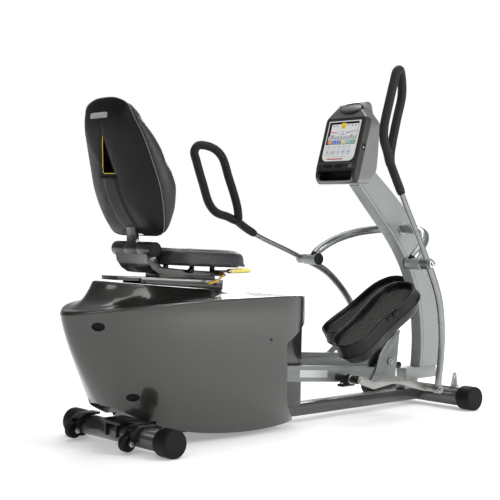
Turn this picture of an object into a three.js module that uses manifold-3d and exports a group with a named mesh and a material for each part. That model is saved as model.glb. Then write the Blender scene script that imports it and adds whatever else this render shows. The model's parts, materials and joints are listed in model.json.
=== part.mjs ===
// Recumbent elliptical trainer with swing arms. Millimetres, +Z up, +X the way the rider faces, +Y the rider's left.
// The origin is on the floor, under the middle of the machine's bounding box.
import * as THREE from 'three';
import { mergeVertices } from 'three/addons/utils/BufferGeometryUtils.js';
import Module from 'manifold-3d';

const wasm = await Module();
wasm.setup();

// ---------- driving dimensions ----------
const ORIGIN_X = 713.5;          // distance of the origin in front of the rear cross tube
const GAP = 0.35;                // running and seating clearance
const TUBE_Z = 50;               // height of the cross tube axes
const TUBE_R = 38.1;             // 3 inch cross tubes
const REAR_HALF = 322, FRONT_X = 1566, FRONT_HALF = 315;
const CAP_R = 50, CAP_LEN = 72;
const BEAM_HALF = 30, BEAM_Z0 = 22, BEAM_Z1 = 70;
const WALL = 3;                   // wall of the box sections
const PIVOT_X = 1206, PIVOT_Z = 628, ARM_Y = 368;
const ARM_PHASE = 42.2;           // angle between the two swing arms at rest, degrees
const CRANK_X = 300, CRANK_Z = 265, CRANK_R = 162;
const LEFT_CLAMP = 8.46;           // the left link axle is clamped this much further forward on its bar
const BAR_Y = 165, BAR_HALF = 20, BAR_H = 60;
const SLOPE = Math.atan2(22, 372); // fall of the seat rail towards the front
const HINGE_X = 63.6, HINGE_Z = 702.3;
const TRAY_ANGLE = 29.7 * Math.PI / 180;
const TRAY_X = 878, TRAY_Z = 313; // heel end of the tray rim, right side
const WHEEL_R = 30, WHEEL_X = -74, WHEEL_Z = 38;
const V3 = THREE.Vector3;

// ---------- materials ----------
const mat = (color, roughness, metalness) => new THREE.MeshStandardMaterial({ color, roughness, metalness });
const STEEL = () => mat(0x9aa09c, 0.35, 0.7);
const LIGHT = () => mat(0xb4b8b8, 0.4, 0.5);
const DARK = () => mat(0x50504c, 0.3, 0.6);
const BLACK = () => mat(0x1c1d1f, 0.6, 0.0);
const GRAY = () => mat(0x74767a, 0.4, 0.4);

// ---------- solids ----------
const strip = (g) => { const q = g.clone(); for (const k of Object.keys(q.attributes)) if (k !== 'position') q.deleteAttribute(k); q.morphAttributes = {}; return mergeVertices(q, 1e-4); };
function toMan(g) {
  const q = strip(g);
  return new wasm.Manifold(new wasm.Mesh({ numProp: 3, vertProperties: new Float32Array(q.attributes.position.array), triVerts: new Uint32Array(q.index.array) }));
}
function fromMan(m) {
  const s = m.getMesh(), g = new THREE.BufferGeometry();
  const n = s.numProp, v = new Float32Array(s.vertProperties.length / n * 3);
  for (let i = 0; i < v.length / 3; i++) for (let k = 0; k < 3; k++) v[3 * i + k] = s.vertProperties[n * i + k];
  g.setAttribute('position', new THREE.BufferAttribute(v, 3));
  g.setIndex(new THREE.BufferAttribute(new Uint32Array(s.triVerts), 1));
  g.computeVertexNormals();
  return g;
}
const add = (a, ...r) => fromMan(r.reduce((m, g) => m.add(toMan(g)), toMan(a)));
const cut = (a, ...r) => fromMan(r.reduce((m, g) => m.subtract(toMan(g)), toMan(a)));
const box = (x0, x1, y0, y1, z0, z1) => new THREE.BoxGeometry(x1 - x0, y1 - y0, z1 - z0).translate((x0 + x1) / 2, (y0 + y1) / 2, (z0 + z1) / 2);
const cylY = (r, x, z, y0, y1, n = 24) => new THREE.CylinderGeometry(r, r, y1 - y0, n).translate(x, (y0 + y1) / 2, z);
const cylX = (r, y, z, x0, x1, n = 16) => new THREE.CylinderGeometry(r, r, x1 - x0, n).rotateZ(Math.PI / 2).translate((x0 + x1) / 2, y, z);
const cylZ = (r, x, y, z0, z1, n = 20) => new THREE.CylinderGeometry(r, r, z1 - z0, n).rotateX(Math.PI / 2).translate(x, y, (z0 + z1) / 2);
// polygon in the XZ plane, extruded from y0 to y1
function plate(pts, y0, y1, holes = []) {
  const s = new THREE.Shape(pts.map(p => new THREE.Vector2(p[0], p[1])));
  for (const h of holes) s.holes.push(new THREE.Path(h.map(p => new THREE.Vector2(p[0], p[1]))));
  return new THREE.ExtrudeGeometry(s, { depth: y1 - y0, bevelEnabled: false, curveSegments: 8 }).rotateX(Math.PI / 2).translate(0, y1, 0);
}
// tube of elliptical section along a curve, section axis a across, b in the other direction
function sweep(pts, a, b, steps, seg = 12) {
  const c = new THREE.CatmullRomCurve3(pts.map(p => new V3(...p)), false, 'centripetal');
  const s = new THREE.Shape();
  for (let i = 0; i < seg; i++) { const t = i / seg * 2 * Math.PI, x = a * Math.cos(t), y = b * Math.sin(t); i ? s.lineTo(x, y) : s.moveTo(x, y); }
  s.closePath();
  return new THREE.ExtrudeGeometry(s, { steps, extrudePath: c, bevelEnabled: false, curveSegments: 1 });
}
function meshOf(verts, tris) {
  const g = new THREE.BufferGeometry();
  let vol = 0;
  for (const [i, j, k] of tris) { const A = verts[i], B = verts[j], C = verts[k]; vol += A[0] * (B[1] * C[2] - B[2] * C[1]) - A[1] * (B[0] * C[2] - B[2] * C[0]) + A[2] * (B[0] * C[1] - B[1] * C[0]); }
  const idx = []; for (const [i, j, k] of tris) vol > 0 ? idx.push(i, j, k) : idx.push(i, k, j);
  g.setAttribute('position', new THREE.BufferAttribute(new Float32Array(verts.flat()), 3));
  g.setIndex(idx); g.computeVertexNormals();
  return g;
}
// rings joined one after the other; ends closed with a fan, or last ring joined to the first
function loft(rings, ringClosed = false) {
  const n = rings[0].length, v = rings.flat().map(p => [...p]), t = [];
  const R = rings.length, last = ringClosed ? R : R - 1;
  for (let r = 0; r < last; r++) for (let i = 0; i < n; i++) {
    const a = r * n + i, b = r * n + (i + 1) % n, c = ((r + 1) % R) * n + i, d = ((r + 1) % R) * n + (i + 1) % n;
    t.push([a, b, d], [a, d, c]);
  }
  if (!ringClosed) for (const r of [0, R - 1]) {
    const ctr = [0, 0, 0]; for (const p of rings[r]) for (let k = 0; k < 3; k++) ctr[k] += p[k] / n;
    const ci = v.length; v.push(ctr);
    for (let i = 0; i < n; i++) { const a = r * n + i, b = r * n + (i + 1) % n; r === 0 ? t.push([ci, b, a]) : t.push([ci, a, b]); }
  }
  return meshOf(v, t);
}
// closed tube around a closed curve
function loop(pts, r, steps, seg = 10) {
  const c = new THREE.CatmullRomCurve3(pts.map(p => new V3(...p)), true, 'centripetal');
  const fr = c.computeFrenetFrames(steps, true), rings = [];
  for (let i = 0; i < steps; i++) {
    const p = c.getPointAt(i / steps), N = fr.normals[i], B = fr.binormals[i], ring = [];
    for (let j = 0; j < seg; j++) { const a = j / seg * 2 * Math.PI; ring.push(p.clone().addScaledVector(N, r * Math.cos(a)).addScaledVector(B, r * Math.sin(a)).toArray()); }
    rings.push(ring);
  }
  return loft(rings, true);
}
// closed outline from the points of its left half, front to back symmetric about Y = 0
function outline(half, n) {
  const pts = half.map(p => new V3(...p));
  const other = half.filter(p => p[1] > 1e-6).map(p => new V3(p[0], -p[1], p[2])).reverse();
  const c = new THREE.CatmullRomCurve3([...pts, ...other], true, 'centripetal');
  return c.getPoints(n).slice(0, n).map(p => p.toArray());
}
const inset = (ring, d, dz = 0) => ring.map((p, i) => {
  const a = ring[(i + ring.length - 1) % ring.length], b = ring[(i + 1) % ring.length];
  let tx = b[0] - a[0], ty = b[1] - a[1]; const l = Math.hypot(tx, ty) || 1; tx /= l; ty /= l;
  const c = ring.reduce((s, q) => [s[0] + q[0] / ring.length, s[1] + q[1] / ring.length], [0, 0]);
  let nx = -ty, ny = tx; if (nx * (c[0] - p[0]) + ny * (c[1] - p[1]) < 0) { nx = -nx; ny = -ny; }
  return [p[0] + nx * d, p[1] + ny * d, p[2] + dz];
});
const flipY = (g) => { const q = strip(g); q.scale(1, -1, 1); const i = q.index.array; for (let k = 0; k < i.length; k += 3) { const t = i[k]; i[k] = i[k + 1]; i[k + 1] = t; } q.computeVertexNormals(); return q; };

const group = new THREE.Group();
const frameGroup = new THREE.Group();
frameGroup.position.x = -ORIGIN_X;
group.add(frameGroup);
function piece(name, geo, material, place) {
  const m = new THREE.Mesh(geo, material);
  m.name = name;
  if (place) place(m);
  frameGroup.add(m);
  return m;
}

// ---------- floor frame ----------
const rearTube = (y0, y1, x) => cut(cylY(TUBE_R, x, TUBE_Z, y0, y1, 28), cylY(TUBE_R - 3, x, TUBE_Z, y0 - 1, y1 + 1, 28));
piece('rear_stabiliser', rearTube(-(REAR_HALF - 8), REAR_HALF - 8, 0), DARK());
piece('front_stabiliser', rearTube(-(FRONT_HALF - 8), FRONT_HALF - 8, FRONT_X), DARK());
function endCap(x, half, side) {
  const a = half - CAP_LEN, prof = [[0, half], [CAP_R - 5, half], [CAP_R, half - 5], [CAP_R, a + 9], [CAP_R - 7, a], [TUBE_R + 0.95, a], [TUBE_R + 0.95, half - 8 + GAP], [0, half - 8 + GAP]];
  const g = new THREE.LatheGeometry(prof.map(p => new THREE.Vector2(...p)), 20);
  const q = strip(g); // orient outwards
  const pos = q.attributes.position.array, t = []; for (let i = 0; i < q.index.array.length; i += 3) t.push([q.index.array[i], q.index.array[i + 1], q.index.array[i + 2]]);
  const v = []; for (let i = 0; i < pos.length; i += 3) v.push([pos[i], pos[i + 1], pos[i + 2]]);
  const good = t.filter(([a2, b2, c2]) => a2 !== b2 && b2 !== c2 && a2 !== c2);
  let m = meshOf(v, good);
  if (side < 0) m = flipY(m);
  m.translate(x, 0, TUBE_Z);
  return m;
}
piece('end_cap_rear_l', endCap(0, REAR_HALF, 1), BLACK());
piece('end_cap_rear_r', endCap(0, REAR_HALF, -1), BLACK());
piece('end_cap_front_l', endCap(FRONT_X, FRONT_HALF, 1), BLACK());
piece('end_cap_front_r', endCap(FRONT_X, FRONT_HALF, -1), BLACK());
piece('base_beam', cut(box(TUBE_R + GAP + 0.3, FRONT_X - TUBE_R - GAP - 0.3, -BEAM_HALF, BEAM_HALF, BEAM_Z0, BEAM_Z1), box(0, FRONT_X, -BEAM_HALF + WALL, BEAM_HALF - WALL, BEAM_Z0 + WALL, BEAM_Z1 - WALL)), DARK());
piece('rear_saddle', cut(add(box(-48, 46, -58, 58, 84, 99), plate([[-48, 40], [150, 24], [150, 64], [46, 99], [-48, 99]], 30.4, 36), plate([[-48, 40], [150, 24], [150, 64], [46, 99], [-48, 99]], -36, -30.4)),
  cylY(TUBE_R + GAP, 0, TUBE_Z, -70, 70, 28)), BLACK());
piece('front_riser', box(1446, 1526, -28, 28, BEAM_Z1 + 0.3, 109.6), GRAY());
piece('front_beam', box(1450, 1642, -30, 30, 110, 160), LIGHT());
piece('front_tab', add(box(1546, 1592, -206, -186, 88.5, 92), plate([[1552, 90], [1592, 90], [1588, 138], [1580, 150], [1568, 146]], -193, -190, [[[1574, 128], [1580, 128], [1580, 136], [1574, 136]]])), STEEL());

// transport wheels on saddle brackets behind the rear tube
for (const [tag, y] of [['r', -140], ['l', 205]]) {
  const arm = [[-22, 92], [-64, 78], [-86, 42], [-82, 31], [-72, 27], [-62, 31], [-54, 50], [-36, 84]];
  const b = cut(add(plate(arm, y - 26, y - 20.5), plate(arm, y + 20.5, y + 26), plate([[-34, 89], [26, 89], [26, 98], [-40, 98]], y - 26, y + 26), plate([[-58, 74], [-34, 84], [-22, 92], [-22, 98], [-40, 98], [-66, 80]], y - 26, y + 26)),
    cylY(TUBE_R + GAP, 0, TUBE_Z, y - 40, y + 40, 28), cylY(6 + GAP, WHEEL_X, WHEEL_Z, y - 40, y + 40, 14), cylY(WHEEL_R + 3, WHEEL_X, WHEEL_Z, y - 20.4, y + 20.4, 24));
  piece('wheel_bracket_' + tag, b, BLACK());
  const axle = cylY(6, WHEEL_X, WHEEL_Z, y - 34, y + 34, 14);
  const tyre = new THREE.LatheGeometry([[0, -14], [WHEEL_R - 4, -14], [WHEEL_R, -9], [WHEEL_R, 9], [WHEEL_R - 4, 14], [0, 14]].map(p => new THREE.Vector2(...p)), 18);
  const q = strip(tyre), t = [], v = []; const P = q.attributes.position.array, I = q.index.array;
  for (let i = 0; i < P.length; i += 3) v.push([P[i], P[i + 1], P[i + 2]]);
  for (let i = 0; i < I.length; i += 3) if (I[i] !== I[i + 1] && I[i + 1] !== I[i + 2] && I[i] !== I[i + 2]) t.push([I[i], I[i + 1], I[i + 2]]);
  const w = meshOf(v, t); w.translate(WHEEL_X, y, WHEEL_Z);
  piece('transport_wheel_' + tag, add(w, axle), BLACK());
}

// ---------- column, crossbar and pivot hubs ----------
const crossHalf = [[1208, 286, 648], [1232, 286, 668], [1296, 264, 708], [1360, 206, 740], [1406, 112, 757]];
const crossPts = [...crossHalf.map(p => [p[0], -p[1], p[2]]), [1420, 0, 761], ...crossHalf.slice().reverse()];
const crossGeo = (r) => sweep(crossPts, r, r, 20, 10);
// the column is one bent box section
const colRear = [[1535, 160.4], [1542, 230], [1541, 330], [1526, 440], [1496, 530], [1452, 615], [1381, 712], [1270, 828], [1160, 942]];
const colFront = [[1206, 990], [1222, 1026], [1238, 1015], [1425, 861], [1510, 768], [1585, 655], [1636, 540], [1662, 420], [1668, 300], [1660, 160.4]];
const colLine = [...colRear, ...colFront];
const colCore = colLine.map((p, i) => { // inner face of the wall; open at the foot, where the column stands on the front beam
  const a = colLine[Math.max(i - 1, 0)], b = colLine[Math.min(i + 1, colLine.length - 1)], l = Math.hypot(b[0] - a[0], b[1] - a[1]);
  const q = [p[0] + (b[1] - a[1]) / l * (WALL + 0.5), p[1] - (b[0] - a[0]) / l * (WALL + 0.5)];
  return i === 0 || i === colLine.length - 1 ? [q[0], 150] : q;
});
piece('column', cut(plate(colLine, -30, 30), plate(colCore, -30 + WALL, 30 - WALL), crossGeo(19 + 0.6)), LIGHT());
const bolt = (s) => s > 0 ? cylY(9 + GAP, PIVOT_X, PIVOT_Z, 300, 345, 16) : cylY(9 + GAP, PIVOT_X, PIVOT_Z, -345, -300, 16);
piece('crossbar', add(crossGeo(19)), STEEL(), null);
{ // the hubs are cut away where the bowed tube is welded to them
  for (const [tag, s] of [['l', 1], ['r', -1]]) {
    const h = s > 0 ? cylY(25, PIVOT_X, PIVOT_Z, 261, 340, 24) : cylY(25, PIVOT_X, PIVOT_Z, -340, -261, 24);
    piece('pivot_hub_' + tag, cut(h, bolt(s), crossGeo(19.7), new THREE.SphereGeometry(20.2, 14, 10).translate(1208, s * 286, 648)), STEEL());
    const b = s > 0 ? add(cylY(9, PIVOT_X, PIVOT_Z, 302, 390, 14), cylY(16, PIVOT_X, PIVOT_Z, 382.6, 392, 16), cylY(10, PIVOT_X, PIVOT_Z, 388, 401, 12))
      : add(cylY(9, PIVOT_X, PIVOT_Z, -390, -302, 14), cylY(16, PIVOT_X, PIVOT_Z, -392, -382.6, 16), cylY(10, PIVOT_X, PIVOT_Z, -401, -388, 12));
    piece('pivot_bolt_' + tag, b, STEEL());
  }
}

// ---------- swing arms: tube, closed loop grip, link rod ----------
// right arm, drawn in its rest pose; the left arm is its mirror turned back by the phase angle
const Y0 = -ARM_Y;
const endX = 1270, endZ = 126;  // pin at the lower end of the arm
const lowPts = [[endX, Y0, 121], [1273, Y0, 168], [1283, Y0, 230], [1291, Y0, 322], [1286, Y0, 415], [1273, Y0, 484], [1250, Y0, 545], [1227, Y0, 592], [1206, Y0, 632]];
const upPts = [[1214, Y0, 614], [1158, -364, 728], [1098, -358, 842], [1064, -353, 914], [1046, -347, 958]];
const bore = cylY(9 + GAP, PIVOT_X, PIVOT_Z, -420, -300, 16);
const pinHole = cylY(6 + GAP, endX, endZ, -420, -300, 12);
const armR = cut(add(sweep(lowPts, 12, 15.5, 13, 10), sweep(upPts, 11, 11, 4, 10), cylY(22, PIVOT_X, PIVOT_Z, -382, -340.8, 18), cylY(17, endX, endZ, -382, -350, 14)), bore, pinHole);
const sleeve = sweep([[1066.5, -353.4, 909], [1046, -347, 958], [1024, -336, 1020], [1022, -333, 1030]], 17, 17, 4, 10);
const stub = add(sweep(upPts.slice(1).map((p, i, q) => i === q.length - 1 ? [p[0] - 0.6, p[1] + 0.1, p[2] + 1] : p), 12.6, 12.6, 4, 10));
const loopPts = [[1026, -333, 1020], [1000, -342, 1066], [974, -349, 1112], [972, -352, 1160], [1002, -348, 1250], [1034, -344, 1336], [1052, -341, 1376], [1078, -333, 1384], [1112, -312, 1344], [1122, -303, 1290], [1092, -305, 1196], [1060, -310, 1100], [1042, -318, 1052]];
const gripR = cut(add(loop(loopPts, 17.5, 26, 8), sleeve), stub);
// link rod: flat bent bar with a pin boss at each end
const linkFlat = plate([[877, 190], [884, 201], [897, 202], [962, 176], [1068, 189], [1112, 184], [1195, 160], [1266, 141], [1284, 134], [1285, 120], [1272, 111], [1254, 114], [1190, 130], [1110, 155], [1068, 160], [962, 147], [890, 172], [879, 178]], -313, -306);
const linkGeo = add(linkFlat, cylY(14, endX, endZ, -349.5, -306, 14), cylY(6, endX, endZ, -390, -340, 12), cylY(9, 891, 187, -318, -299, 12));
function swing(m, s) { // turn about the pivot axis
  m.position.set(0, 0, 0);
  if (s > 0) { const a = -ARM_PHASE * Math.PI / 180, c = Math.cos(a), q = Math.sin(a); m.rotation.y = a; m.position.set(PIVOT_X - (PIVOT_X * c + PIVOT_Z * q), 0, PIVOT_Z - (-PIVOT_X * q + PIVOT_Z * c)); }
}
piece('arm_tube_r', armR, STEEL()); piece('grip_r', gripR, BLACK());
piece('arm_tube_l', flipY(armR), STEEL(), m => swing(m, 1)); piece('grip_l', flipY(gripR), BLACK(), m => swing(m, 1));
piece('link_rod_r', linkGeo, LIGHT());
{ // the left link hangs from the lower end of the left arm and lies back to the left bar
  const a = -ARM_PHASE * Math.PI / 180, c = Math.cos(a), q = Math.sin(a);
  const ex = endX - PIVOT_X, ez = endZ - PIVOT_Z;
  const nx = PIVOT_X + ex * c + ez * q, nz = PIVOT_Z - ex * q + ez * c;
  const la = Math.atan2(nz - 187, nx - (891 + 2 * CRANK_R + LEFT_CLAMP)) - Math.atan2(endZ - 187, endX - 891);
  piece('link_rod_l', flipY(linkGeo), LIGHT(), m => { m.rotation.y = -la; const C = Math.cos(-la), S = Math.sin(-la); m.position.set(nx - (endX * C + endZ * S), 0, nz - (-endX * S + endZ * C)); });
}

// ---------- pedal bars with brackets, trays, pins and link axles ----------
const tiltX = 1175;              // tray tilt bolt
const barLine = x => 221.5 - (x - 642) * 0.0925;
function barGeo() {
  const z = barLine;
  const b = plate([[CRANK_X - CRANK_R - 34, z(104) - 30], [1120, z(1120) - 30], [1150, z(1150) - 20], [1150, z(1150) + 12], [1120, z(1120) + 30], [CRANK_X - CRANK_R - 34, z(104) + 30]], -BAR_Y - BAR_HALF, -BAR_Y + BAR_HALF);
  const lug = plate([[1096, 190], [1146, 158], [1190, 200], [1190, 242], [1152, 244]], -BAR_Y - 10, -BAR_Y + 10);
  const core = plate([[80, z(80) - 27], [1080, z(1080) - 27], [1080, z(1080) + 27], [80, z(80) + 27]], -BAR_Y - BAR_HALF + WALL, -BAR_Y + BAR_HALF - WALL);
  return cut(add(cut(b, core), lug), cylY(9 + GAP, tiltX, 228, -BAR_Y - 40, -BAR_Y + 40, 14), cylY(12 + GAP, CRANK_X - CRANK_R, CRANK_Z, -BAR_Y - 40, -BAR_Y + 40, 16));
}
function bracketGeo() {
  const p = [[1064, 150], [1208, 142], [1214, 190], [1238, 352], [1165, 312], [1120, 262], [1098, 200]];
  const y = -BAR_Y;
  return add(plate(p, y - 26, y - 21), plate(p, y + 21, y + 26), plate([[1160, 290], [1236, 334], [1238, 352], [1165, 312]], y - 26, y + 26), plate([[1200, 204], [1214, 190], [1226, 262], [1216, 262]], y - 26, y + 26), cylY(9, tiltX, 228, y - 24, y + 24, 14), cylY(14, tiltX, 228, y - 34, y - 25, 14));
}
function trayGeo() {
  // outline in the tray's own plane: u along the foot, v across, w up from the rim
  const half = [[474, 0], [462, 50], [420, 82], [362, 90], [280, 84], [200, 78], [120, 82], [60, 78], [18, 52], [0, 0]];
  const lean = u => -8 - (420 - u) * 0.075;      // the heel end lies further out than the toe end
  const N = 32, rim = outline(half.map(p => [p[0], p[1], 0]), N);
  const c = Math.cos(TRAY_ANGLE), s = Math.sin(TRAY_ANGLE);
  const place = (ring) => ring.map(([u, v, w]) => [TRAY_X + u * c - w * s, -BAR_Y + v + lean(u), TRAY_Z + u * s + w * c]);
  const foot = ring => ring.map(([u, v, w]) => [u < 60 ? 34 + (u - 34) * 0.55 + 10 : u > 400 ? 400 + (u - 400) * 0.55 : u, v * 0.8, w]);
  const at = (r, w) => r.map(p => [p[0], p[1], w]);
  const floorRing = inset(rim, 9);
  const rings = [at(foot(rim), -100), at(rim.map(p => [20 + (p[0] - 20) * 1.045, p[1] * 0.97, 0]), -62), at(rim, -4), at(inset(rim, 2), 0), at(inset(rim, 7), 0), at(floorRing, -30)];
  const body = loft(rings.map(place));
  const mb = new THREE.BoxGeometry(96, 60, 40).translate(292, 0, -118);
  const m4 = new THREE.Matrix4().set(c, 0, -s, TRAY_X, 0, 1, 0, -BAR_Y, s, 0, c, TRAY_Z, 0, 0, 0, 1);
  mb.applyMatrix4(m4);
  return cut(add(body, mb), plate([[1150, 286], [1239, 330], [1240, 353.6], [1163, 312.6]], -BAR_Y - 40, -BAR_Y + 40));
}
const knobGeo = add(cylX(6, -BAR_Y, 205, 1215, 1238, 12), cylX(13, -BAR_Y, 205, 1232, 1262, 16));
const axleGeo = add(cylY(16, 891, 187, -296, -BAR_Y - BAR_HALF - GAP, 16), box(868, 934, -236, -206, 156, 166), box(878, 906, -232, -210, 160, 180));
const geos = { pedal_bar: [barGeo(), GRAY], pedal_bracket: [bracketGeo(), GRAY], foot_tray: [trayGeo(), BLACK], tilt_knob: [knobGeo, BLACK], link_axle: [axleGeo, BLACK] };
for (const [name, [g, m]] of Object.entries(geos)) {
  let q = g;
  if (name === 'pedal_bracket') q = cut(g, cylX(6 + GAP, -BAR_Y, 205, 1150, 1240, 12));
  piece(name + '_r', q, m());
  piece(name + '_l', flipY(q), m(), o => { o.position.x = 2 * CRANK_R + (name === 'link_axle' ? LEFT_CLAMP : 0); });
}

// ---------- drive inside the housing ----------
const plateHoles = [[[200, 120], [250, 120], [250, 190], [150, 190]], [[150, 370], [330, 340], [330, 500], [150, 520]]];
const framePlate = (y0, y1) => cut(plate([[180, 84], [420, 84], [400, 320], [392, 540], [70, 572], [-20, 330], [60, 180]], y0, y1, plateHoles), cylY(14 + GAP, CRANK_X, CRANK_Z, y0 - 5, y1 + 5, 20), cylY(10 + GAP, 50, 330, y0 - 5, y1 + 5, 16));
piece('drive_frame', add(framePlate(50, 56), framePlate(-56, -50), box(180, 420, -33, 33, BEAM_Z1 + 0.3, 92), box(180, 420, -56, 56, 84, 92)), GRAY());
piece('crank_shaft', cylY(14, CRANK_X, CRANK_Z, -112, 112, 20), STEEL());
const armX = (s) => cut(add(plate([[CRANK_X - s * 0, CRANK_Z + 24], [CRANK_X - CRANK_R, CRANK_Z + 18], [CRANK_X - CRANK_R - 18, CRANK_Z], [CRANK_X - CRANK_R, CRANK_Z - 18], [CRANK_X, CRANK_Z - 24], [CRANK_X + 24, CRANK_Z]], -126, -112.4), cylY(12, CRANK_X - CRANK_R, CRANK_Z, -144, -120, 16)));
const crankR = armX(1);
const crankL = flipY(crankR); crankL.scale(-1, 1, 1); { const i = crankL.index.array; for (let k = 0; k < i.length; k += 3) { const t = i[k]; i[k] = i[k + 1]; i[k + 1] = t; } } crankL.translate(2 * CRANK_X, 0, 0); crankL.computeVertexNormals();
piece('crank_arm_r', crankR, STEEL()); piece('crank_arm_l', crankL, STEEL());
piece('drive_pulley', cut(cylY(118, CRANK_X, CRANK_Z, -12, 12, 40), cylY(14 + GAP, CRANK_X, CRANK_Z, -14, 14, 20)), GRAY());
{ // belt: an endless loop round the drive pulley and the flywheel pulley
  const beltLine = (R, r) => { // convex loop round both pulleys
    const A = [CRANK_X, CRANK_Z], B = [50, 330], d = Math.hypot(B[0] - A[0], B[1] - A[1]), th = Math.atan2(B[1] - A[1], B[0] - A[0]), al = Math.acos((R - r) / d), pts = [];
    for (let i = 0; i <= 24; i++) { const a = th + al + (2 * Math.PI - 2 * al) * i / 24; pts.push([A[0] + R * Math.cos(a), A[1] + R * Math.sin(a)]); }
    for (let i = 0; i <= 8; i++) { const a = th - al + (2 * al) * i / 8; pts.push([B[0] + r * Math.cos(a), B[1] + r * Math.sin(a)]); }
    return pts;
  };
  piece('drive_belt', plate(beltLine(122.4, 24.4), -9, 9, [beltLine(119, 21)]), BLACK());
}
piece('flywheel', add(cylY(92, 50, 330, 16, 42, 40), cylY(20, 50, 330, -11, 17, 24), cylY(10, 50, 330, -64, 64, 16)), DARK());

// ---------- housing ----------
const N = 32;
const rimHalf = [[775, 0, 502], [764, 90, 504], [735, 160, 508], [680, 214, 514], [600, 241, 519], [430, 252, 521], [220, 250, 519], [40, 228, 511], [-95, 182, 500], [-155, 134, 494], [-200, 82, 487], [-232, 34, 481], [-241, 0, 480]];
const botHalf = [[770, 0, 40], [758, 60, 38], [730, 105, 34], [690, 130, 30], [600, 150, 24], [430, 156, 22], [220, 150, 42], [60, 134, 84], [-40, 112, 128], [-72, 96, 146], [-92, 60, 156], [-100, 30, 160], [-104, 0, 162]];
const rimRing = outline(rimHalf, N), botRing = outline(botHalf, N);
const side = (v, wall) => {
  const hx = 1 - Math.pow(1 - v, 1.35), hy = 1 - Math.pow(1 - v, 2.5);
  const ring = rimRing.map((p, i) => { const b = botRing[i]; return [b[0] + (p[0] - b[0]) * hx, b[1] + (p[1] - b[1]) * hy, b[2] + (p[2] - b[2]) * v]; });
  return wall ? inset(ring, wall) : ring;
};
const levels = [0, 0.05, 0.14, 0.3, 0.52, 0.76, 1];
const hullRings = [...levels.map(v => side(v, 0)), side(1, 5), ...levels.slice(1, -1).reverse().map(v => side(v, 5)), side(0.02, 6).map(p => [p[0], p[1], p[2] + 2])];
const hullSolid = loft(hullRings);
const noseCut = plate([[560, 210], [604, 170], [636, 100], [665, 70], [700, 40], [720, 10], [900, 10], [900, 406], [560, 406]], -195, 195);
const wallCut = plate([[720, 10], [900, 10], [900, 406], [690, 406], [578, 346], [583, 300], [606, 188], [636, 100], [665, 70], [700, 40]], -320, 320);
piece('housing_shell', cut(hullSolid, noseCut, wallCut, box(-260, 900, -33.5, 33.5, 0, 104), box(-260, 176, -62, 62, 0, 104), box(130, 430, -60, 60, 60, 140), box(-52, 52, -262, 262, 0, 101)), DARK());
// centre panel between the two bar openings
piece('front_panel', cut(plate([[600, 80], [762, 80], [771, 402], [600, 402]], -110, 110), plate([[560, 60], [759, 60], [767.5, 398.5], [560, 398.5]], -106.5, 106.5)), DARK());
// deck cover with the raised pedestal under the seat
const pedHalf = [[520, 0, 528], [512, 40, 529], [480, 78, 532], [420, 94, 541], [340, 99, 549], [240, 100, 558], [140, 100, 568], [40, 96, 578], [-30, 88, 585], [-62, 76, 588], [-86, 50, 590], [-98, 24, 592], [-100, 0, 592]];
const holeHalf = [[404, 0, 533], [404, 34, 533], [404, 62, 534], [380, 66, 537], [330, 66, 541], [260, 66, 547], [200, 66, 553], [140, 66, 559], [90, 66, 564], [62, 66, 567], [56, 60, 568], [56, 30, 568], [56, 0, 568]];
const pedRing = outline(pedHalf, N);
const holeRing = (() => { const h = holeHalf.map(p => p), o = h.filter(p => p[1] > 0).map(p => [p[0], -p[1], p[2]]).reverse(); const c = new THREE.CatmullRomCurve3([...h, ...o].map(p => new V3(...p)), true, 'centripetal'); return c.getPoints(N).slice(0, N).map(p => p.toArray()); })();
const mix = (a, b, h, v, dz = 0) => a.map((p, i) => [p[0] + (b[i][0] - p[0]) * h, p[1] + (b[i][1] - p[1]) * h, p[2] + (b[i][2] - p[2]) * v + dz]);
const rimTop = inset(rimRing, 1).map(p => [p[0], p[1], p[2] + GAP]);
const deckOut = [rimTop, mix(rimTop, pedRing, 0.03, 0.10), mix(rimTop, pedRing, 0.32, 0.16), mix(rimTop, pedRing, 0.62, 0.36), mix(rimTop, pedRing, 0.85, 0.72), mix(rimTop, pedRing, 0.96, 0.96), inset(pedRing, 10, 1), holeRing];
const deckIn = [holeRing.map(p => [p[0], p[1], p[2] - 5]), inset(pedRing, 15, -5), inset(mix(rimTop, pedRing, 0.85, 0.72), 5, -3), inset(mix(rimTop, pedRing, 0.62, 0.36), 4, -4), inset(mix(rimTop, pedRing, 0.32, 0.16), 3, -4), inset(rimTop, 12, 0)];
piece('deck_cover', loft([...deckOut, ...deckIn], true), DARK());

// ---------- seat ----------
const rl = x => 601 - (x - 46) * Math.tan(SLOPE);
const railBot = x => 579 - (x - 46) * 0.0992;
piece('seat_rail', add(plate([[46, rl(46)], [418, rl(418)], [414, railBot(414)], [46, railBot(46)]], 54, 58), plate([[46, rl(46)], [418, rl(418)], [414, railBot(414)], [46, railBot(46)]], -58, -54), plate([[46, railBot(46)], [46, railBot(46) + 4], [414, railBot(414) + 4], [414, railBot(414)]], -55, 55)), STEEL());
const sl = x => 604 - (x - 46) * Math.tan(SLOPE);
const plateBot = x => 611 - (x - 130) * Math.tan(SLOPE);
const frameSide = [[38, 700], [46, 660], [66, 633], [92, 617], [130, 611], [396, plateBot(396)], [398, 604], [380, 613], [260, 622], [180, 630], [130, 636], [106, 641], [92, 652], [87, 672]];
const curve = [[40, 694], [47, 660], [67, 633], [93, 617], [130, 611], [396, plateBot(396)], [396, plateBot(396) + 4], [130, 615], [95, 621], [71, 636], [51, 662], [44.5, 694]];
const hingeClear = cylY(27 + GAP, HINGE_X, HINGE_Z, -130, 130, 28);
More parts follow.
